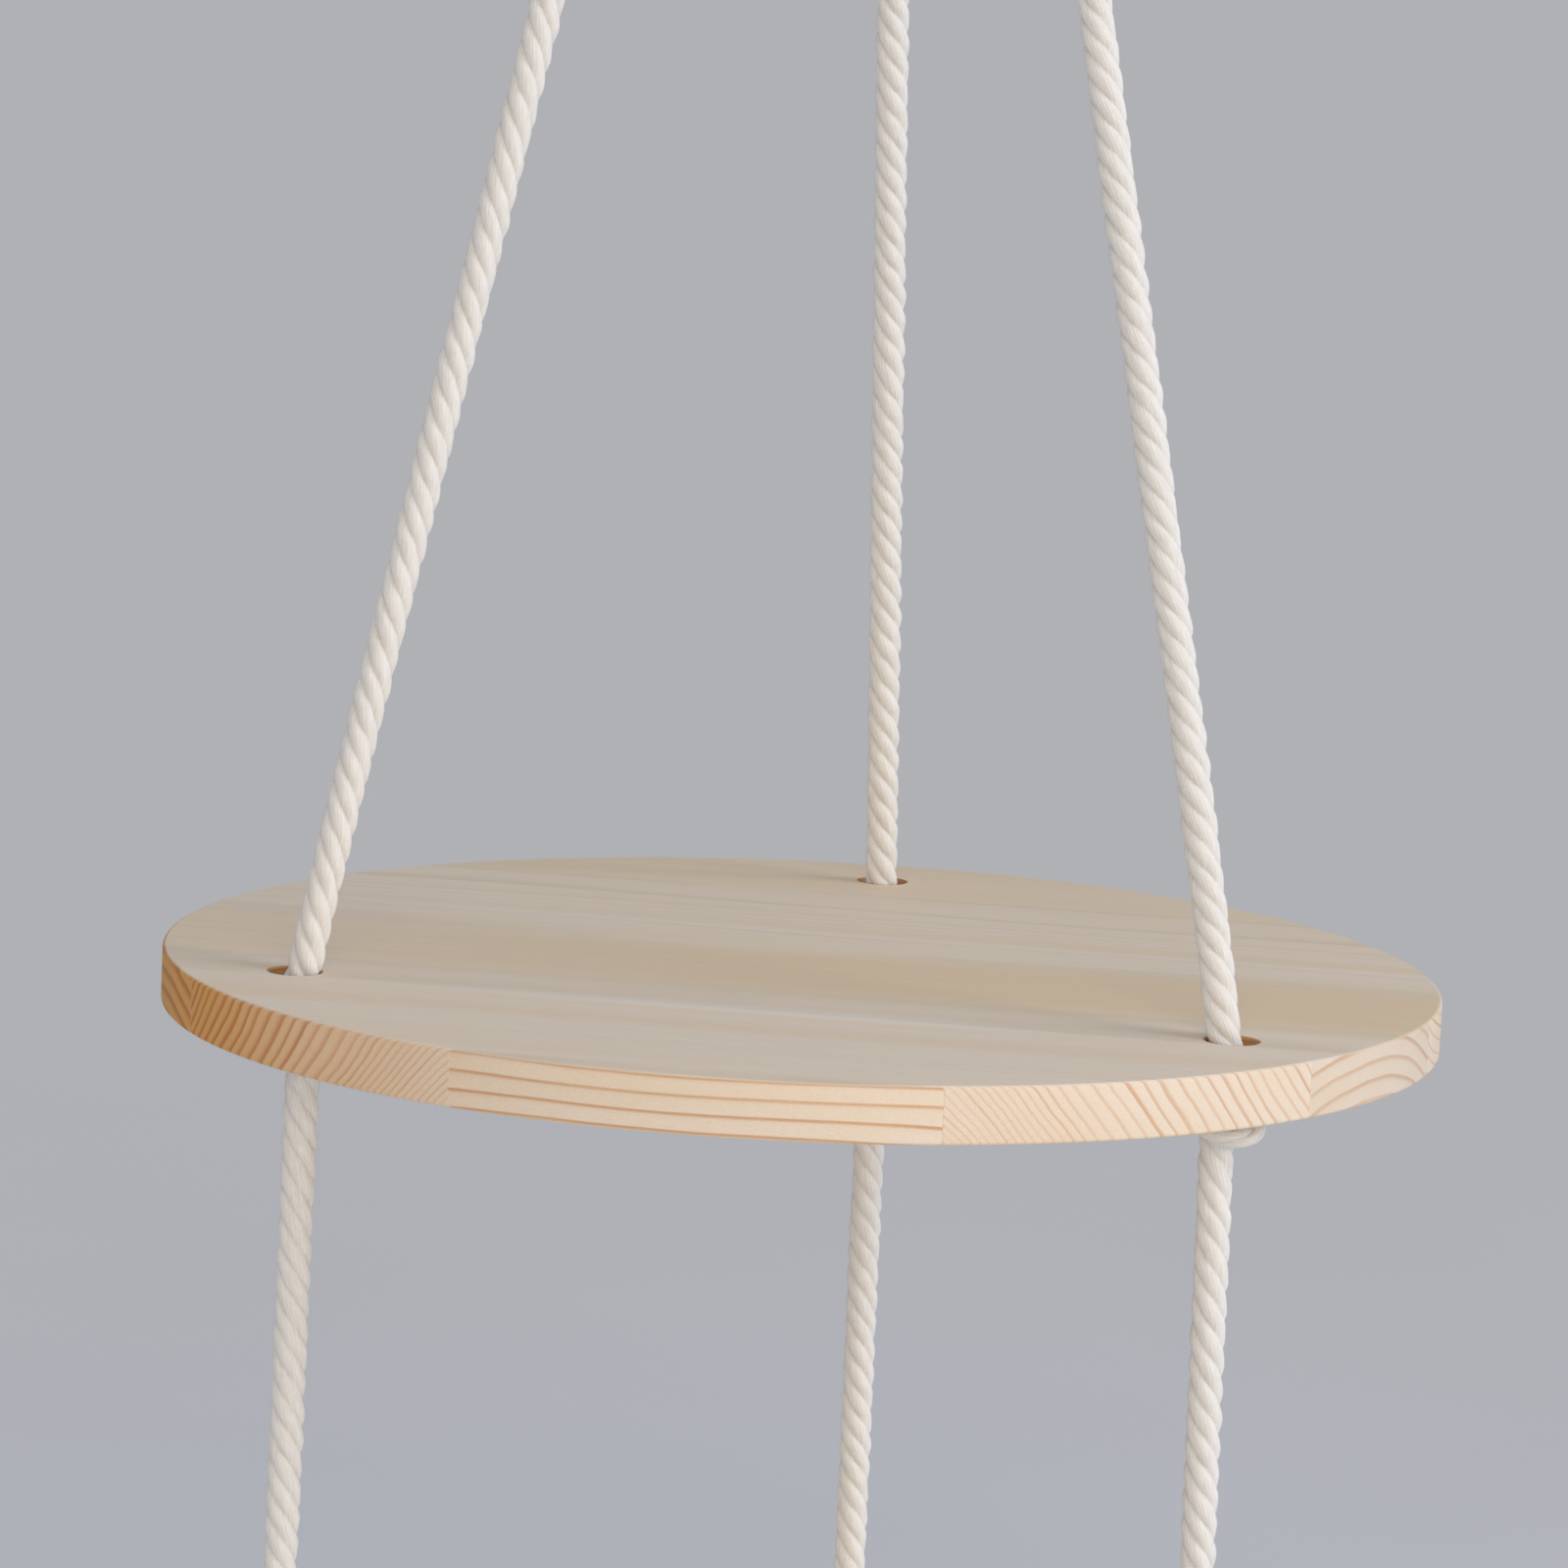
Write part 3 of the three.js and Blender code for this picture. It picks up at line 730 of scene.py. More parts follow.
def pressed_flat(surface, in_knot, board_z, hole):
    """The surface with its knots pressed against the undersides of their boards: a height above
    the limit eases down to it, and the limit rises from the hole's edge inwards."""
    from_hole = np.linalg.norm(surface[..., :2] - hole, axis=-1)
    limit = board_z[:, None] - BOARD_THICKNESS - KNOT_PRESS + KNOT_RISE_IN_HOLE * np.maximum(
        HOLE_DIAMETER / 2 - from_hole, 0)
    pressed = limit - KNOT_PRESS * np.logaddexp(0, (limit - surface[..., 2]) / KNOT_PRESS)
    surface[..., 2] = np.where(in_knot[:, None], pressed, surface[..., 2])
    return surface


def whole_rope(angle, turned, seed):
    """A rope from end to end: its surface, ring by ring, and the rings where it is divided. The
    rope thins into each knot, and its surface is worked out loose and then drawn tight."""
    loose, marks = divided_line(angle, turned)
    side, other = carried_frames(loose, np.array([1.0, 0.0, 1.0]))
    tight_heights = tightened(loose[:, 2])
    along = length_along(np.column_stack([loose[:, :2], tight_heights]))
    above_knot = np.where(tight_heights > (upper_knot_z + lower_knot_z) / 2,
                          tight_heights - upper_knot_z, tight_heights - lower_knot_z)
    full = eased((np.abs(above_knot) - knot_half_height + NECK_IN_KNOT) / KNOT_NECK)
    knot_radius = KNOT_ROPE / 2 * KNOT_ROPE_SWELL
    radius = knot_radius + (rope_radius - knot_radius) * full
    surface, turns, crown = twisted_surface(
        loose, side, other, radius, along, LAY_LENGTH, np.random.default_rng(seed))
    surface[..., 2] = tightened(surface[..., 2])
    surface = pressed_flat(
        surface, np.abs(above_knot) < knot_half_height,
        np.where(tight_heights > lower_board_z, upper_board_z, lower_board_z),
        hole_circle_radius * np.array([math.cos(angle), math.sin(angle)]))
    return {
        "surface": surface, "turn": turns, "along": along, "crown": crown,
        "bight_end": marks[0], "sway": marks[2], "lower_seam": marks[3], "end": marks[4],
    }


def ride_and_replace(piece, body, slot, *nodes):
    """A piece that rides on one body and stands for some nodes."""
    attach(piece, body)
    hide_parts(*nodes)


# How far the upper and the lower knot of each rope are turned, in degrees
KNOTS_TURNED = {"back": (0, 70), "left": (150, 215), "right": (0, 280)}
FIRST_ROPE_SEED = 11

# Deep in the lower board's holes each rope is parted by about a millimetre, so that its end can
# tilt with the sway. So many of its rings are left out on either side of the seam.
RINGS_ABOVE_SEAM = 4
RINGS_BELOW_SEAM = 3


def make_ropes(cotton):
    """Each rope in four pieces: bight, upper rope with its knot, lower rope, and tail with its
    knot."""
    for seed, (side, angle) in enumerate(ROPES, FIRST_ROPE_SEED):
        rope = whole_rope(angle, np.radians(KNOTS_TURNED[side]), seed)
        bight = rope_piece(f"bight_{side}", rope, 0, rope["bight_end"], cotton)
        ride_and_replace(bight, "hanger", "rope_cotton", f"rope_bight_{side}")

        upper = rope_piece(f"upper_rope_and_knot_{side}", rope, rope["bight_end"], rope["sway"],
                           cotton)
        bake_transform(upper)
        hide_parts(f"rope_upper_{side}", f"knot_upper_{side}")

        lower = rope_piece(f"lower_rope_{side}", rope, rope["sway"],
                           rope["lower_seam"] - RINGS_ABOVE_SEAM, cotton)
        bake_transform(lower)
        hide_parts(f"rope_lower_{side}")

        knot = rope_piece(f"tail_knot_{side}", rope, rope["lower_seam"] + RINGS_BELOW_SEAM,
                          rope["end"], cotton)
        ride_and_replace(knot, "lower_tier", "rope_cotton", f"knot_lower_{side}")


# Whipping: one thinner cotton cord, wound close and tight round the six legs, its ends tucked in

WHIPPING_SWELL = 1.14
WHIPPING_LAY = 2.6 * WHIPPING_CORD
WHIPPING_STEPS = 90
WHIPPING_TUCK = math.radians(34)
WHIPPING_TUCK_DEPTH = 0.62 * ROPE_DIAMETER
WHIPPING_SEED = 5


def make_whipping(cotton):
    """A helix that drops one pitch a turn, with both ends led inwards between the legs."""
    cord_radius = WHIPPING_CORD / 2 * WHIPPING_SWELL
    radius = bundle_radius + rope_radius + cord_radius
    a = np.linspace(0, 2 * np.pi * WHIPPING_LOOPS, WHIPPING_LOOPS * WHIPPING_STEPS + 1)
    z = whipping_top_z - WHIPPING_CORD / 2 - whipping_pitch * a / (2 * np.pi)
    tuck = 1 - eased(np.minimum(a, a[-1] - a) / WHIPPING_TUCK)
    r = radius - tuck * WHIPPING_TUCK_DEPTH
    centres = np.stack([r * np.cos(a), r * np.sin(a), z], -1)
    side, other = carried_frames(centres, np.array([0.0, 0.0, 1.0]))
    along = length_along(centres)
    surface, turn, crown = twisted_surface(
        centres, side, other, np.full(len(a), cord_radius), along, WHIPPING_LAY,
        np.random.default_rng(WHIPPING_SEED))
    rope = {"surface": surface, "turn": turn, "along": along, "crown": crown}
    piece = rope_piece("whipping", rope, 0, len(a) - 1, cotton)
    ride_and_replace(piece, "hanger", "whipping_cotton", "whipping_cord")


# Hanging ring: steel wire, drawn, bent round, butt-welded, brushed along the wire and nickel
# plated. It mirrors the room softly, in long streaks that the brush marks blur, a little warmer
# than bare steel and clouded here and there. Real brush marks are finer than 0.1 mm, and these
# are drawn as coarse as they need to show.

RING_STEPS = 240
WIRE_COLUMNS = 40
WELD_ANGLE = math.radians(128)
WELD_SWELL = 0.09
WELD_LENGTH = 2.6 * MM

# The way round the wire, in whole millimetres, how many brush marks a millimetre lie round it and
# along it, and how deep they are
MM_ROUND_WIRE = 19
BRUSH_MARKS = (9, 0.35, 1)
BRUSH_DEPTH = 0.03 * MM
SMUDGE_SIZE = 14 * MM


def make_steel():
    """Brushed nickel plate on the ring's own places, in millimetres round the wire and along it."""
    material, tree = new_material("nickel_plated_brushed_steel")
    place = add(tree, "UVMap", uv_map="surface")
    brushed = add(tree, "Mapping", {"Vector": place, "Scale": BRUSH_MARKS})
    marks = add(tree, "TexNoise", {
        "Vector": brushed, "Scale": 1, "Detail": 6, "Roughness": 0.6,
    })
    smudges = add(tree, "TexNoise", {
        "Vector": add(tree, "TexCoord").outputs["Object"], "Scale": 1 / SMUDGE_SIZE, "Detail": 2,
    })
    tone = add(tree, "ValToRGB", {"Fac": smudges}, [(0.3, "#B9B8B5"), (0.7, "#CFCECB")])
    smoothest, roughest = 0.24, 0.42
    rough = add(tree, "MapRange", {0: marks, 1: 0.3, 2: 0.7, 3: smoothest, 4: roughest})
    bump = add(tree, "Bump", {"Height": marks, "Strength": 0.25, "Distance": BRUSH_DEPTH})
    surface = add(tree, "BsdfPrincipled", {
        "Base Color": tone, "Metallic": 1.0, "Roughness": rough, "Normal": bump,
    })
    add(tree, "OutputMaterial", {"Surface": surface})
    return material


def make_ring():
    """A torus in the XZ plane, whose wire swells a little at the weld, at the top left."""
    a = np.linspace(0, 2 * np.pi, RING_STEPS, endpoint=False)
    b = np.linspace(0, 2 * np.pi, WIRE_COLUMNS, endpoint=False)
    from_weld = (a - WELD_ANGLE) * wire_circle_radius / WELD_LENGTH
    wire = RING_WIRE / 2 * (1 + WELD_SWELL * np.exp(-from_weld ** 2))
    out = wire_circle_radius + wire[:, None] * np.cos(b)
    vertices = np.stack([
        out * np.cos(a)[:, None], wire[:, None] * np.sin(b),
        ring_centre_z + out * np.sin(a)[:, None],
    ], -1).reshape(-1, 3)
    i, j = np.meshgrid(np.arange(RING_STEPS), np.arange(WIRE_COLUMNS), indexing="ij")
    step = np.stack([i, i + 1, i + 1, i], -1)
    column = np.stack([j, j, j + 1, j + 1], -1)
    quads = (step % RING_STEPS) * WIRE_COLUMNS + column % WIRE_COLUMNS
    step_length = 2 * np.pi * wire_circle_radius / RING_STEPS / MM
    uv = np.stack([column / WIRE_COLUMNS * MM_ROUND_WIRE, step * step_length], -1).reshape(-1, 2)
    piece = new_piece("ring", vertices, quads, [], make_steel(), uv)
    ride_and_replace(piece, "ring", "ring_steel", "hanging_ring")


# Boards: edge-glued pine staves, sawn round, drilled, sanded and left bare

RIM_EASING = 0.9 * MM
HOLE_EASING = 0.5 * MM
EASING_STEPS = 7
RIM_STEP = 1.3 * MM
HOLE_COLUMNS = 72
SHARP_EDGE = math.radians(17)

# A triangle of half this area, in square metres, or less is left out
NO_AREA = 1e-14


def eased_profile(easing):
    """Rounded arrises and the wall between them, from the top face down to the bottom face: how
    far each level stands back from the wall, and its depth below the top face."""
    a = np.linspace(0, np.pi / 2, EASING_STEPS + 1)
    back = easing * (1 - np.sin(a))
    down = easing * (1 - np.cos(a))
    return np.concatenate([back, back[::-1]]), np.concatenate([down, BOARD_THICKNESS - down[::-1]])


def stave_outline(inset, front, back):
    """Outline of a disc between two lines of constant y, counter-clockwise: the right arc, the
    back line, the left arc and the front line. Where a line only touches the rim, the two arcs
    meet there. The inset draws the rim in, and leaves the number of points as it is."""
    def ends(radius):
        return [math.asin(max(min(y / radius, 1), -1)) for y in (front, back)]

    low, high = ends(board_radius)
    count = math.ceil((high - low) * board_radius / RIM_STEP) + 2
    radius = board_radius - inset
    a = np.linspace(*ends(radius), count)
    right = np.stack([radius * np.cos(a), radius * np.sin(a)], -1)
    left = (right * [-1, 1])[::-1]
    if back >= board_radius:
        left = left[1:]
    if front <= -board_radius:
        left = left[:-1]
    return np.vstack([right, left])


def wall_quads(levels, count, first, inwards):
    """Quads between successive levels of a closed outline, level by level."""
    i, j = np.meshgrid(np.arange(levels - 1), np.arange(count), indexing="ij")
    after = (j + 1) % count
    a, b = first + i * count + j, first + i * count + after
    corners = [a, b, b + count, a + count] if inwards else [a, a + count, b + count, b]
    return np.stack(corners, -1).reshape(-1, 4)


def flat_face(vertices, loops, upwards):
    """Triangles that fill the first loop and leave the others open, all facing up or all down."""
    flat = [[Vector((*vertices[k][:2], 0)) for k in loop] for loop in loops]
    found = np.concatenate(loops)[np.array(tessellate_polygon(flat), int)]
    p, q, r = (vertices[found[:, k]][:, :2] for k in range(3))
    turn = (q - p)[:, 0] * (r - p)[:, 1] - (q - p)[:, 1] * (r - p)[:, 0]
    has_area = np.abs(turn) > NO_AREA
    found, turn = found[has_area], turn[has_area]
    flip = (turn < 0) if upwards else (turn > 0)
    found[flip] = found[flip][:, ::-1]
    return found


def make_stave(name, board_z, front, back, holes, materials):
    """One stave: eased walls level by level, walls of its holes, and a flat face above and below
    that spans the outline and leaves the holes open."""
    half_gap = GLUE_LINE / 2
    y0 = front + half_gap if front > -board_radius else front
    y1 = back - half_gap if back < board_radius else back
    outlines = [(stave_outline(inset, y0, y1), depth)
                for inset, depth in zip(*eased_profile(RIM_EASING))]
    walls = [(outlines, False)]
    a = np.linspace(0, 2 * np.pi, HOLE_COLUMNS, endpoint=False)
    round_hole = np.column_stack([np.cos(a), np.sin(a)])
    for hole in holes:
        rings = [(hole + (HOLE_DIAMETER / 2 + extra) * round_hole, depth)
                 for extra, depth in zip(*eased_profile(HOLE_EASING))]
        walls.append((rings, True))

    vertices, quads, is_hole, top_loops, bottom_loops = [], [], [], [], []
    first = 0
    for levels, inwards in walls:
        count = len(levels[0][0])
        for outline, depth in levels:
            vertices.append(np.column_stack([outline, np.full(count, board_z - depth)]))
        quads.append(wall_quads(len(levels), count, first, inwards))
        is_hole.append(np.full(len(quads[-1]), inwards))
        top_loops.append(first + np.arange(count))
        first += len(levels) * count
        bottom_loops.append(first - count + np.arange(count))
    vertices, quads = np.vstack(vertices), np.vstack(quads)
    triangles = np.vstack([flat_face(vertices, top_loops, True),
                           flat_face(vertices, bottom_loops, False)])
    piece = new_piece(name, vertices, quads, triangles, materials[0])
    piece.data.materials.append(materials[1])
    slots = np.concatenate(is_hole + [np.zeros(len(triangles))]).astype(np.int32)
    piece.data.polygons.foreach_set("material_index", slots)
    piece.data.set_sharp_from_angle(angle=SHARP_EDGE)
    return piece


# Pine: sapwood, planed, glued and sanded. Wide pale early wood and thin orange late wood give it
# fine parallel lines on its faces and arcs on its ends, the late wood a little smoother and
# prouder. The years are cylinders about a pith that runs along X, so end grain, long grain and
# faces all come from the same rings. Fibres are really some 0.03 mm wide, and are drawn coarser.

# Each stave was cut from another place in the log. Its pith is (y, z) in mm from the middle of the
# board's top face, "year" the width of a year in mm, and "narrow" the distance in mm from the pith
# beyond which years get narrow. "offset" shifts the years by a share of one, "tilt" leans the pith
# in radians, and "uneven" is by how many years they wander. "late" is late wood's share of a year,
# which shows from "faintest" to "strongest". "band" is a broad tan band on the faces, from one y
# to another in mm, and its strength. "streak" is the y of a pale streak in mm, and "face" and
# "end" tint the faces and the right end.
ANY_STAVE = {
    "tilt": 0.0, "uneven": 1.6, "late": 0.48, "faintest": 0.4, "strongest": 1.0,
    "face": "#FFFFFF", "end": "#FFFFFF",
}
STAVES = {
    "upper_board": [
        {"pith": (-150, -62), "year": 4.15, "narrow": 200, "offset": 0.82, "tilt": -0.0053,
         "uneven": 0, "faintest": 0.9},
        {"pith": (-30, 36), "year": 2.6, "narrow": 100, "offset": 0.10, "uneven": 0.7,
         "late": 0.68, "faintest": 0.3, "strongest": 0.8},
        {"pith": (-55, -65), "year": 4.3, "narrow": 200, "offset": 0.44, "uneven": 0,
         "late": 0.62, "strongest": 0.65, "band": (-44, 40, 0.8), "streak": -68,
         "end": "#F7F8FA"},
        {"pith": (14, 71), "year": 3.1, "narrow": 90, "offset": 0.20, "band": (-60, 14, 0.8)},
        {"pith": (88, -48), "year": 3.4, "narrow": 80, "offset": 0.60, "face": "#FFFDF9"},
        {"pith": (40, 30), "year": 2.7, "narrow": 95, "offset": 0.35, "face": "#FFFAF0"},
    ],
    "lower_board": [
        {"pith": (-120, 44), "year": 2.9, "narrow": 70, "offset": 0.15},
        {"pith": (-128, -58), "year": 3.7, "narrow": 90, "offset": 0.52, "tilt": 0.003},
        {"pith": (-5, -34), "year": 2.6, "narrow": 75, "offset": 0.31},
        {"pith": (22, 60), "year": 3.5, "narrow": 95, "offset": 0.75},
        {"pith": (66, -70), "year": 4.0, "narrow": 110, "offset": 0.05},
        {"pith": (160, 40), "year": 3.0, "narrow": 72, "offset": 0.62},
    ],
}

EARLY_WOOD = "#E8D8C5"
EARLY_FACE = "#EDDECB"
LATE_WOOD = "#CB9C72"
LATE_FACE = "#E1D2BD"
TAN_FACE = "#E6CDA8"
PALE_FACE = "#F4EEE6"
TIGHT_WOOD = "#D9B48B"
# Painted shade and warm bounce light over the left end's end grain, deeper on its late wood
LEFT_END_SHADE = "#F5BC4A"
LEFT_LATE_SHADE = "#DCAA88"

# Patches of a pattern in mm, along the grain and across it. The trunk sways slowly, and each year
# line trembles, by so many mm.
SWAY_PATCH, SWAY = (210, 38), 4.2
TREMBLE_PATCH, TREMBLE = (26, 5), 0.4
BAND_PATCH = (420, 17)
FIBRE_PATCH = (7, 0.28)
PORES_A_MM = 3.2

# Uneven years come in runs, so many a year. Beyond the narrow distance so many years are added for
# each square millimetre, and over some more mm their late wood gets fainter and the wood browner.
RUNS_A_YEAR = 0.35
NARROWING = 0.026
FAINT_REACH, FAINT_SHARE = 16, 0.7
TIGHT_REACH, TIGHT_SHARE = 14, 0.32

# Late wood is the last share of a year. It is faint while more than the first of these parts of
# that share is left, full from the second on, and stops sharply just before the year ends.
LATE_FAINT, LATE_FULL = 0.54, 0.29
LATE_STOPS, YEAR_STOPS = 0.93, 0.99

# The painted shade at the left end is deepest near the middle of the late wood: how near, where
# that has faded out, both in years, and how strong it is
LATE_MIDDLE = 0.82
DEEP_REACH, DEEP_FADE, DEEP_SHARE = 0.1, 0.4, 0.6

# How far a surface faces along the grain, or up or down, where it starts to count as end grain or
# as a face, and where it counts in full
END_GRAIN = (0.15, 0.75)
BOARD_FACE = (0.5, 0.9)

# Tan bands: strength of the faint ones between two levels of their pattern. The broad one's edge
# fades and sways by so much, and the band is weaker at the left.
FAINT_TAN, FAINT_TAN_LEVELS = 0.45, (0.44, 0.74)
BAND_EDGE = 13 * MM
BAND_SWAY = 14 * MM
BAND_LEFT, BAND_LEFT_SHARE = -120 * MM, 0.6

# Pale streak: its core and its edge each side, its strength, and where its ends fade in and out
STREAK_CORE, STREAK_EDGE = 1.5 * MM, 7.5 * MM
STREAK_SHARE = 0.42
STREAK_LEFT = (-90 * MM, -20 * MM)
STREAK_RIGHT = (70 * MM, 30 * MM)

# The right end's tint comes in over this stretch. Towards the left end, over the second stretch,
# the end grain is painted darker and more orange: a little of it the wood's own darker end grain,
# the rest painted shade and warm bounce light on the side away from the side lamp.
RIGHT_END = (0, 100 * MM)
LEFT_SHADE_REACH, LEFT_SHADE_SHARE = (-23 * MM, -121 * MM), 0.85


def patches(tree, place, size, inputs):
    """A pattern of patches so many millimetres long, along the grain, and so many wide."""
    along, across = size
    drawn = add(tree, "Mapping", {"Vector": place, "Scale": (1 / along, 1 / across, 1 / across)})
    return add(tree, "TexNoise", {"Vector": drawn, "Scale": 1, **inputs})


def pine_years(tree, stave, place):
    """Years counted outwards from the pith: the distance from it over the width of a year, swayed
    and made uneven. Gives the place within a year, how much late wood it is, and the millimetres
    beyond the narrow distance."""
    sway = patches(tree, place, SWAY_PATCH, {"Detail": 2}).outputs["Color"]
    bent = add(tree, "VectorMath", {0: sway, 1: (0.5, 0.5, 0.5)}, operation="SUBTRACT")
    bent = add(tree, "VectorMath", {0: bent, 1: (0, SWAY, SWAY), 2: place},
               operation="MULTIPLY_ADD")
    parts = add(tree, "SeparateXYZ", {0: bent}).outputs
    flat = add(tree, "CombineXYZ", {1: parts["Y"], 2: parts["Z"]})
    r = add(tree, "VectorMath", {0: flat}, operation="LENGTH")
    tremble = patches(tree, place, TREMBLE_PATCH, {"Detail": 3})
    r = add(tree, "Math", {0: tremble, 1: TREMBLE, 2: r}, operation="MULTIPLY_ADD")
    beyond = add(tree, "Math", {0: r, 1: stave["narrow"]}, operation="SUBTRACT")
    beyond = add(tree, "Math", {0: beyond, 1: 0.0}, operation="MAXIMUM")
    squared = add(tree, "Math", {0: beyond, 1: beyond}, operation="MULTIPLY")
    runs = add(tree, "TexNoise", {"W": r, "Scale": RUNS_A_YEAR / stave["year"], "Detail": 1},
               noise_dimensions="1D")
    years = add(tree, "Math", {0: r, 1: 1 / stave["year"], 2: stave["offset"]},
                operation="MULTIPLY_ADD")
    for more, share in ((squared, NARROWING), (runs, stave["uneven"])):
        years = add(tree, "Math", {0: more, 1: share, 2: years}, operation="MULTIPLY_ADD")
    season = add(tree, "Math", {0: years}, operation="FRACT")
    year = add(tree, "Math", {0: years}, operation="FLOOR")

    vigour = add(tree, "TexWhiteNoise", {"W": year}, noise_dimensions="1D")
    vigour = add(tree, "MapRange", {0: vigour, 3: stave["faintest"], 4: stave["strongest"]})
    slim = add(tree, "MapRange", {0: beyond, 1: 0, 2: FAINT_REACH, 3: 1, 4: FAINT_SHARE})
    vigour = add(tree, "Math", {0: vigour, 1: slim}, operation="MULTIPLY")
    share = stave["late"]
    late = add(tree, "ValToRGB", {"Fac": season}, [
        (0.0, "#000000"), (1 - share, "#0A0A0A"), (1 - LATE_FAINT * share, "#5A5A5A"),
        (1 - LATE_FULL * share, "#FFFFFF"), (LATE_STOPS, "#FFFFFF"), (YEAR_STOPS, "#101010"),
    ])
    late = add(tree, "Math", {0: late, 1: vigour}, operation="MULTIPLY")
    return season, late, beyond


def broad_tan(tree, stave, bands, along_place, across_place, faceness):
    """Share of a stave's broad tan band: full within its reach of the middle line, faded at its
    edges, which sway with the faint bands, and weaker towards the left."""
    low, high, strength = stave["band"]
    across = add(tree, "Math", {0: bands, 1: BAND_SWAY, 2: across_place},
                 operation="MULTIPLY_ADD")
    middle, reach = (low + high) / 2 * MM + BAND_SWAY / 2, (high - low) / 2 * MM
    across = add(tree, "Math", {0: across, 1: middle}, operation="SUBTRACT")
    across = add(tree, "Math", {0: across}, operation="ABSOLUTE")
    broad = add(tree, "MapRange", {
        0: across, 1: reach - BAND_EDGE, 2: reach + BAND_EDGE, 3: strength, 4: 0.0,
    }, interpolation_type="SMOOTHSTEP")
    broad = add(tree, "Math", {0: broad, 1: faceness}, operation="MULTIPLY")
    rightwards = add(tree, "MapRange", {
        0: along_place, 1: BAND_LEFT, 2: 0.0, 3: BAND_LEFT_SHARE, 4: 1.0,
    })
    return add(tree, "Math", {0: broad, 1: rightwards}, operation="MULTIPLY")


def pale_streak(tree, stave, along_place, across_place, faceness):
    """Share of the pale streak: full at its line, faded at both sides and both ends."""
    off = add(tree, "Math", {0: across_place, 1: stave["streak"] * MM}, operation="SUBTRACT")
    off = add(tree, "Math", {0: off}, operation="ABSOLUTE")
    pale = add(tree, "MapRange", {0: off, 1: STREAK_CORE, 2: STREAK_EDGE, 3: STREAK_SHARE, 4: 0.0},
               interpolation_type="SMOOTHSTEP")
    pale = add(tree, "Math", {0: pale, 1: faceness}, operation="MULTIPLY")
    for start, full in (STREAK_LEFT, STREAK_RIGHT):
        end = add(tree, "MapRange", {0: along_place, 1: start, 2: full})
        pale = add(tree, "Math", {0: pale, 1: end}, operation="MULTIPLY")
    return pale


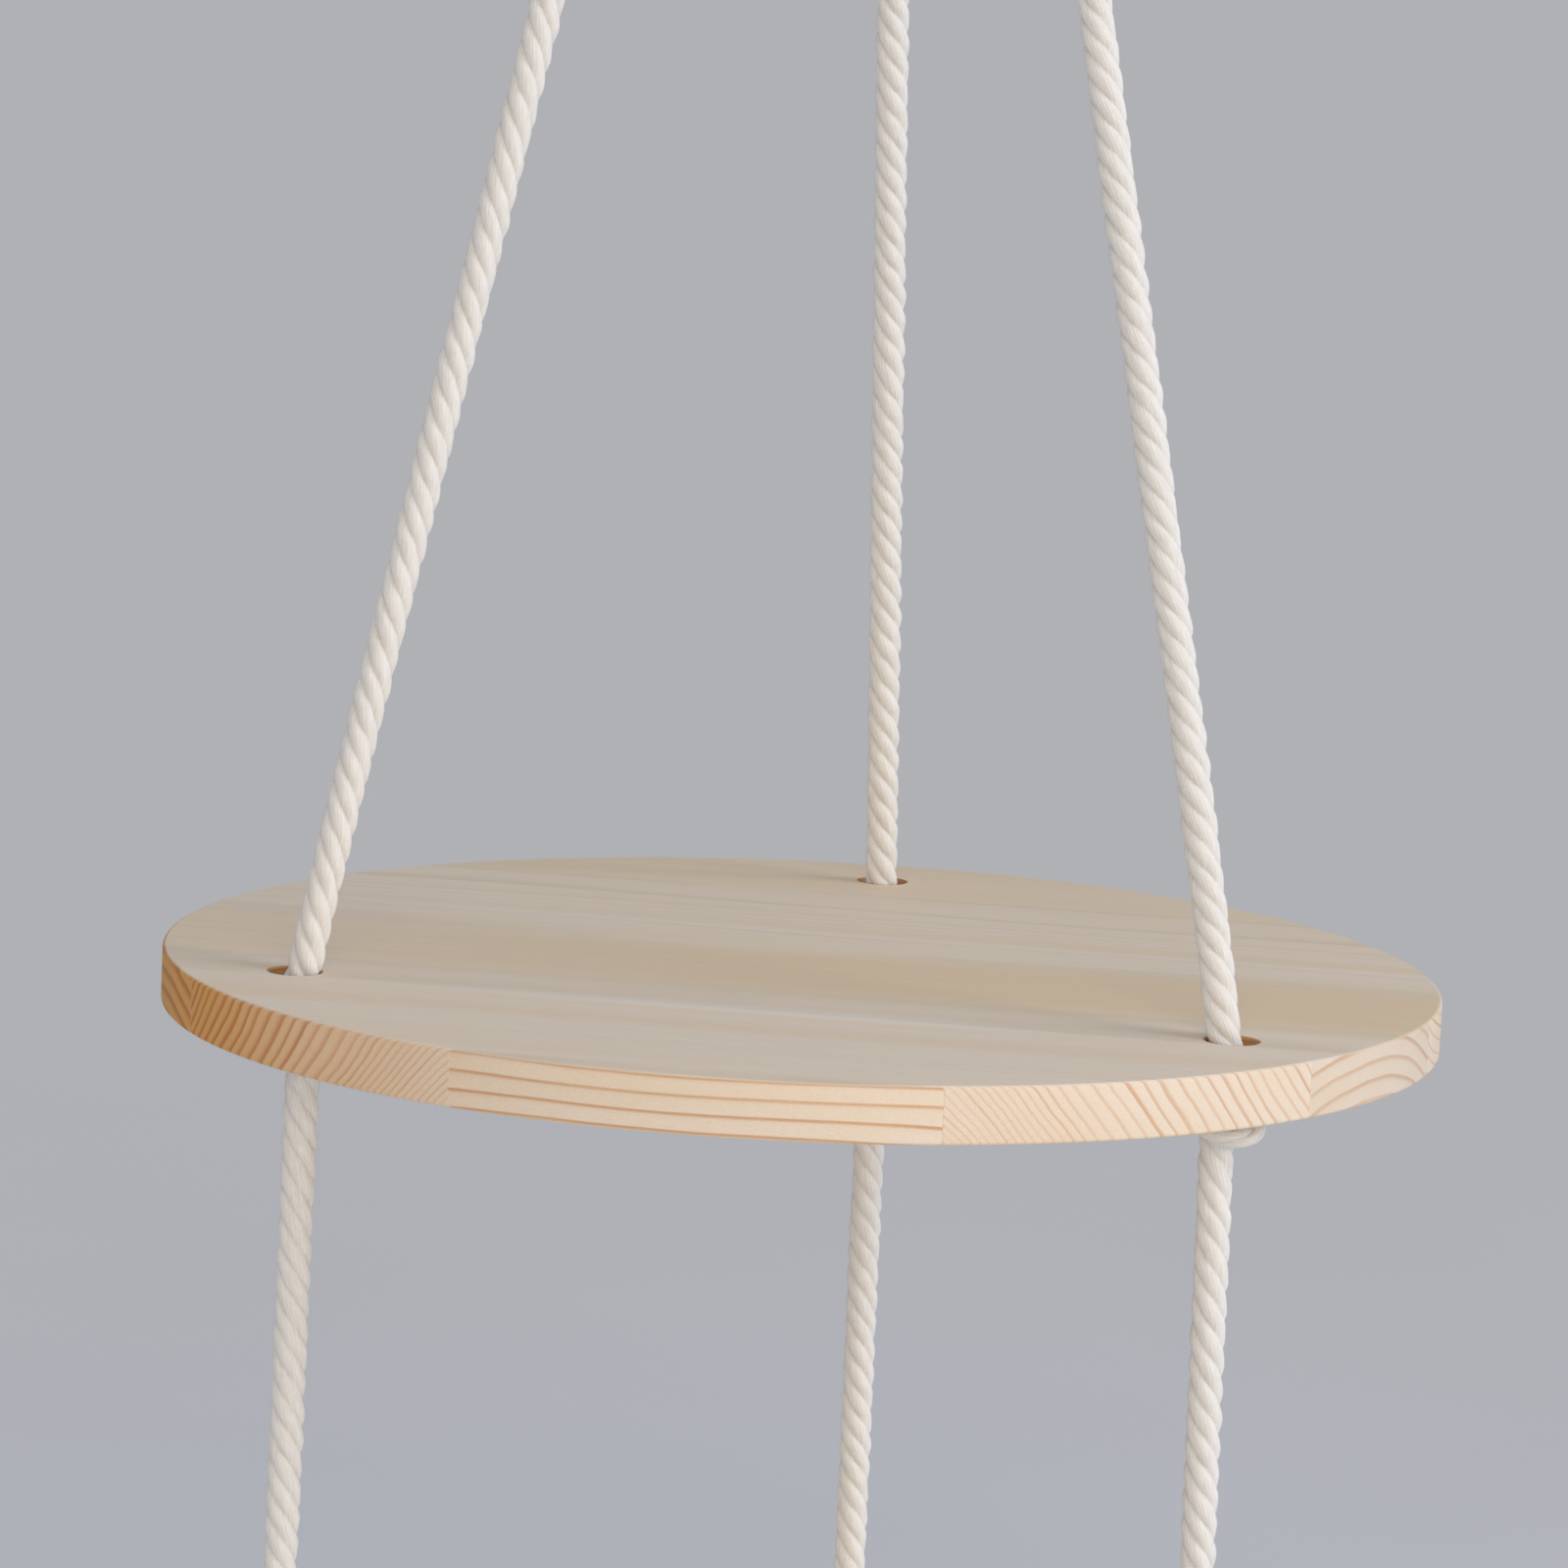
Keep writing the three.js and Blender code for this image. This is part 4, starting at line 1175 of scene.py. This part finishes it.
def make_pine(name, stave, board_z):
    """Material of one stave. Its place is read in millimetres from the pith."""
    stave = {**ANY_STAVE, **stave}
    material, tree = new_material(name)
    place = add(tree, "TexCoord").outputs
    y, z = stave["pith"]
    from_pith = add(tree, "Mapping", {
        "Vector": place["Object"], "Location": (0, -y, -z - board_z / MM),
        "Scale": (1 / MM, 1 / MM, 1 / MM), "Rotation": (0, stave["tilt"], 0),
    })
    season, late, beyond = pine_years(tree, stave, from_pith)
    bands = patches(tree, from_pith, BAND_PATCH, {"Detail": 3})
    fibre = patches(tree, from_pith, FIBRE_PATCH, {"Detail": 4, "Roughness": 0.65})
    pore = add(tree, "TexNoise", {"Vector": from_pith, "Scale": PORES_A_MM, "Detail": 2})

    # Where it is along and across the board, how much of the surface is end grain, and how much
    # of it faces up or down
    spot = add(tree, "SeparateXYZ", {0: place["Object"]}).outputs
    normal = add(tree, "SeparateXYZ", {0: place["Normal"]}).outputs
    endness, faceness = (
        add(tree, "MapRange", {
            0: add(tree, "Math", {0: normal[way]}, operation="ABSOLUTE"), 1: start, 2: full,
        }) for way, (start, full) in (("X", END_GRAIN), ("Z", BOARD_FACE))
    )
    early, darker = (
        add(tree, "Mix", {"Factor": faceness, 6: linear(wood), 7: linear(face)}, data_type="RGBA")
        for wood, face in ((EARLY_WOOD, EARLY_FACE), (LATE_WOOD, LATE_FACE))
    )
    colour = add(tree, "Mix", {"Factor": late, 6: early, 7: darker}, data_type="RGBA")

    # How much of each tint lies over that, layer by layer
    tan = add(tree, "MapRange", {
        0: bands, 1: FAINT_TAN_LEVELS[0], 2: FAINT_TAN_LEVELS[1], 3: 0.0, 4: FAINT_TAN,
    })
    if "band" in stave:
        broad = broad_tan(tree, stave, bands, spot["X"], spot["Y"], faceness)
        tan = add(tree, "Math", {0: broad, 1: tan}, operation="MAXIMUM")
    tight = add(tree, "MapRange", {0: beyond, 1: 0, 2: TIGHT_REACH, 3: 0.0, 4: TIGHT_SHARE})
    tight = add(tree, "Math", {0: tight, 1: endness}, operation="MULTIPLY")
    layers = [
        ("MIX", tan, TAN_FACE), ("MIX", tight, TIGHT_WOOD), ("MULTIPLY", faceness, stave["face"]),
    ]
    if "streak" in stave:
        pale = pale_streak(tree, stave, spot["X"], spot["Y"], faceness)
        layers.append(("MIX", pale, PALE_FACE))
    # Right end's tint, and painted shade and warm bounce light at the left end, deepest on late wood
    right, left_shade = (
        add(tree, "Math", {
            0: add(tree, "MapRange", {0: spot["X"], 1: start, 2: full}), 1: endness,
        }, operation="MULTIPLY") for start, full in (RIGHT_END, LEFT_SHADE_REACH)
    )
    left_shade = add(tree, "Math", {0: left_shade, 1: LEFT_SHADE_SHARE}, operation="MULTIPLY")
    late_left_shade = add(tree, "Math", {0: season, 1: LATE_MIDDLE}, operation="SUBTRACT")
    late_left_shade = add(tree, "Math", {0: late_left_shade}, operation="ABSOLUTE")
    late_left_shade = add(tree, "MapRange", {0: late_left_shade, 1: DEEP_REACH, 2: DEEP_FADE, 3: DEEP_SHARE, 4: 0.0})
    late_left_shade = add(tree, "Math", {0: left_shade, 1: late_left_shade}, operation="MULTIPLY")
    layers += [
        ("MULTIPLY", right, stave["end"]), ("MULTIPLY", left_shade, LEFT_END_SHADE), ("MULTIPLY", late_left_shade, LEFT_LATE_SHADE),
    ]
    for blend, share, tint in layers:
        colour = add(tree, "Mix", {"Factor": share, 6: colour, 7: linear(tint)},
                     data_type="RGBA", blend_type=blend)

    # Fibres and pores darken and lighten it a little, and late wood stands proud and is smoother
    speck = add(tree, "Math", {0: fibre, 1: pore}, operation="ADD")
    darkest, lightest = 0.93, 1.05
    grain = add(tree, "MapRange", {0: speck, 1: 0.7, 2: 1.3, 3: darkest, 4: lightest})
    colour = add(tree, "VectorMath", {0: colour, "Scale": grain}, operation="SCALE")
    late_height = 0.5
    relief = add(tree, "Math", {0: late, 1: late_height, 2: fibre}, operation="MULTIPLY_ADD")
    bump = add(tree, "Bump", {"Height": relief, "Strength": 0.35, "Distance": 0.05 * MM})
    early_roughness, late_roughness = 0.66, 0.52
    rough = add(tree, "MapRange", {0: late, 3: early_roughness, 4: late_roughness})
    surface = add(tree, "BsdfPrincipled", {
        "Base Color": colour, "Roughness": rough, "IOR": 1.45, "Specular IOR Level": 0.35,
        "Normal": bump,
    })
    add(tree, "OutputMaterial", {"Surface": surface})
    return material


# Drilled pine: the wall of a hole, end grain and side grain torn and browned by the drill. It is
# rough, darker than the faces, and ringed by marks so long round the hole and so far apart.
DRILL_MARKS = (6 * MM, 6 * MM, 0.5 * MM)
DRILL_DEPTH = 0.1 * MM


def make_drilled_pine():
    """Patches squeezed flat into level marks, which shade the holes' walls and score them."""
    material, tree = new_material("drilled_pine")
    place = add(tree, "TexCoord").outputs["Object"]
    turns = add(tree, "Mapping", {"Vector": place, "Scale": [1 / size for size in DRILL_MARKS]})
    marks = add(tree, "TexNoise", {"Vector": turns, "Scale": 1, "Detail": 3})
    tone = add(tree, "ValToRGB", {"Fac": marks}, [(0.3, "#B07C4E"), (0.7, "#CFA06E")])
    bump = add(tree, "Bump", {"Height": marks, "Strength": 0.4, "Distance": DRILL_DEPTH})
    surface = add(tree, "BsdfPrincipled", {
        "Base Color": tone, "Roughness": 0.8, "Normal": bump,
    })
    add(tree, "OutputMaterial", {"Surface": surface})
    return material


def make_boards():
    """Each stave lies where its node lies, and gets the holes whose middles are inside it."""
    drilled = make_drilled_pine()
    holes = [
        (hole_circle_radius * math.cos(angle), hole_circle_radius * math.sin(angle))
        for _, angle in ROPES
    ]
    for board, board_z, body in (
        ("upper_board", upper_board_z, "upper_tier"), ("lower_board", lower_board_z, "lower_tier"),
    ):
        joints = [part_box(f"{board}_stave_{k}")[1].y + GLUE_LINE / 2
                  for k in range(1, len(STAVES[board]))]
        edges = [-board_radius] + joints + [board_radius]
        for k, stave in enumerate(STAVES[board]):
            front, back = edges[k], edges[k + 1]
            inside = [hole for hole in holes if front < hole[1] < back]
            pine = make_pine(f"sanded_pine_{board}_{k + 1}", stave, board_z)
            piece = make_stave(f"{board}_plank_{k + 1}", board_z, front, back, inside,
                               (pine, drilled))
            ride_and_replace(piece, body, "board_pine", f"{board}_stave_{k + 1}")


make_camera()
make_studio()
# Each cotton's colours: its paler and darker tufts, and its grooves, where shade is painted
rope_cotton = make_cotton("laid_cotton_rope", "#E9E7E3", "#DDDAD6", "#D2CCC7", 0.3 * MM)
cord_cotton = make_cotton("laid_cotton_cord", "#EBE6DF", "#D9D2C8", "#C9C0B5", 0.2 * MM)
make_ropes(rope_cotton)
make_whipping(cord_cotton)
make_ring()
make_boards()
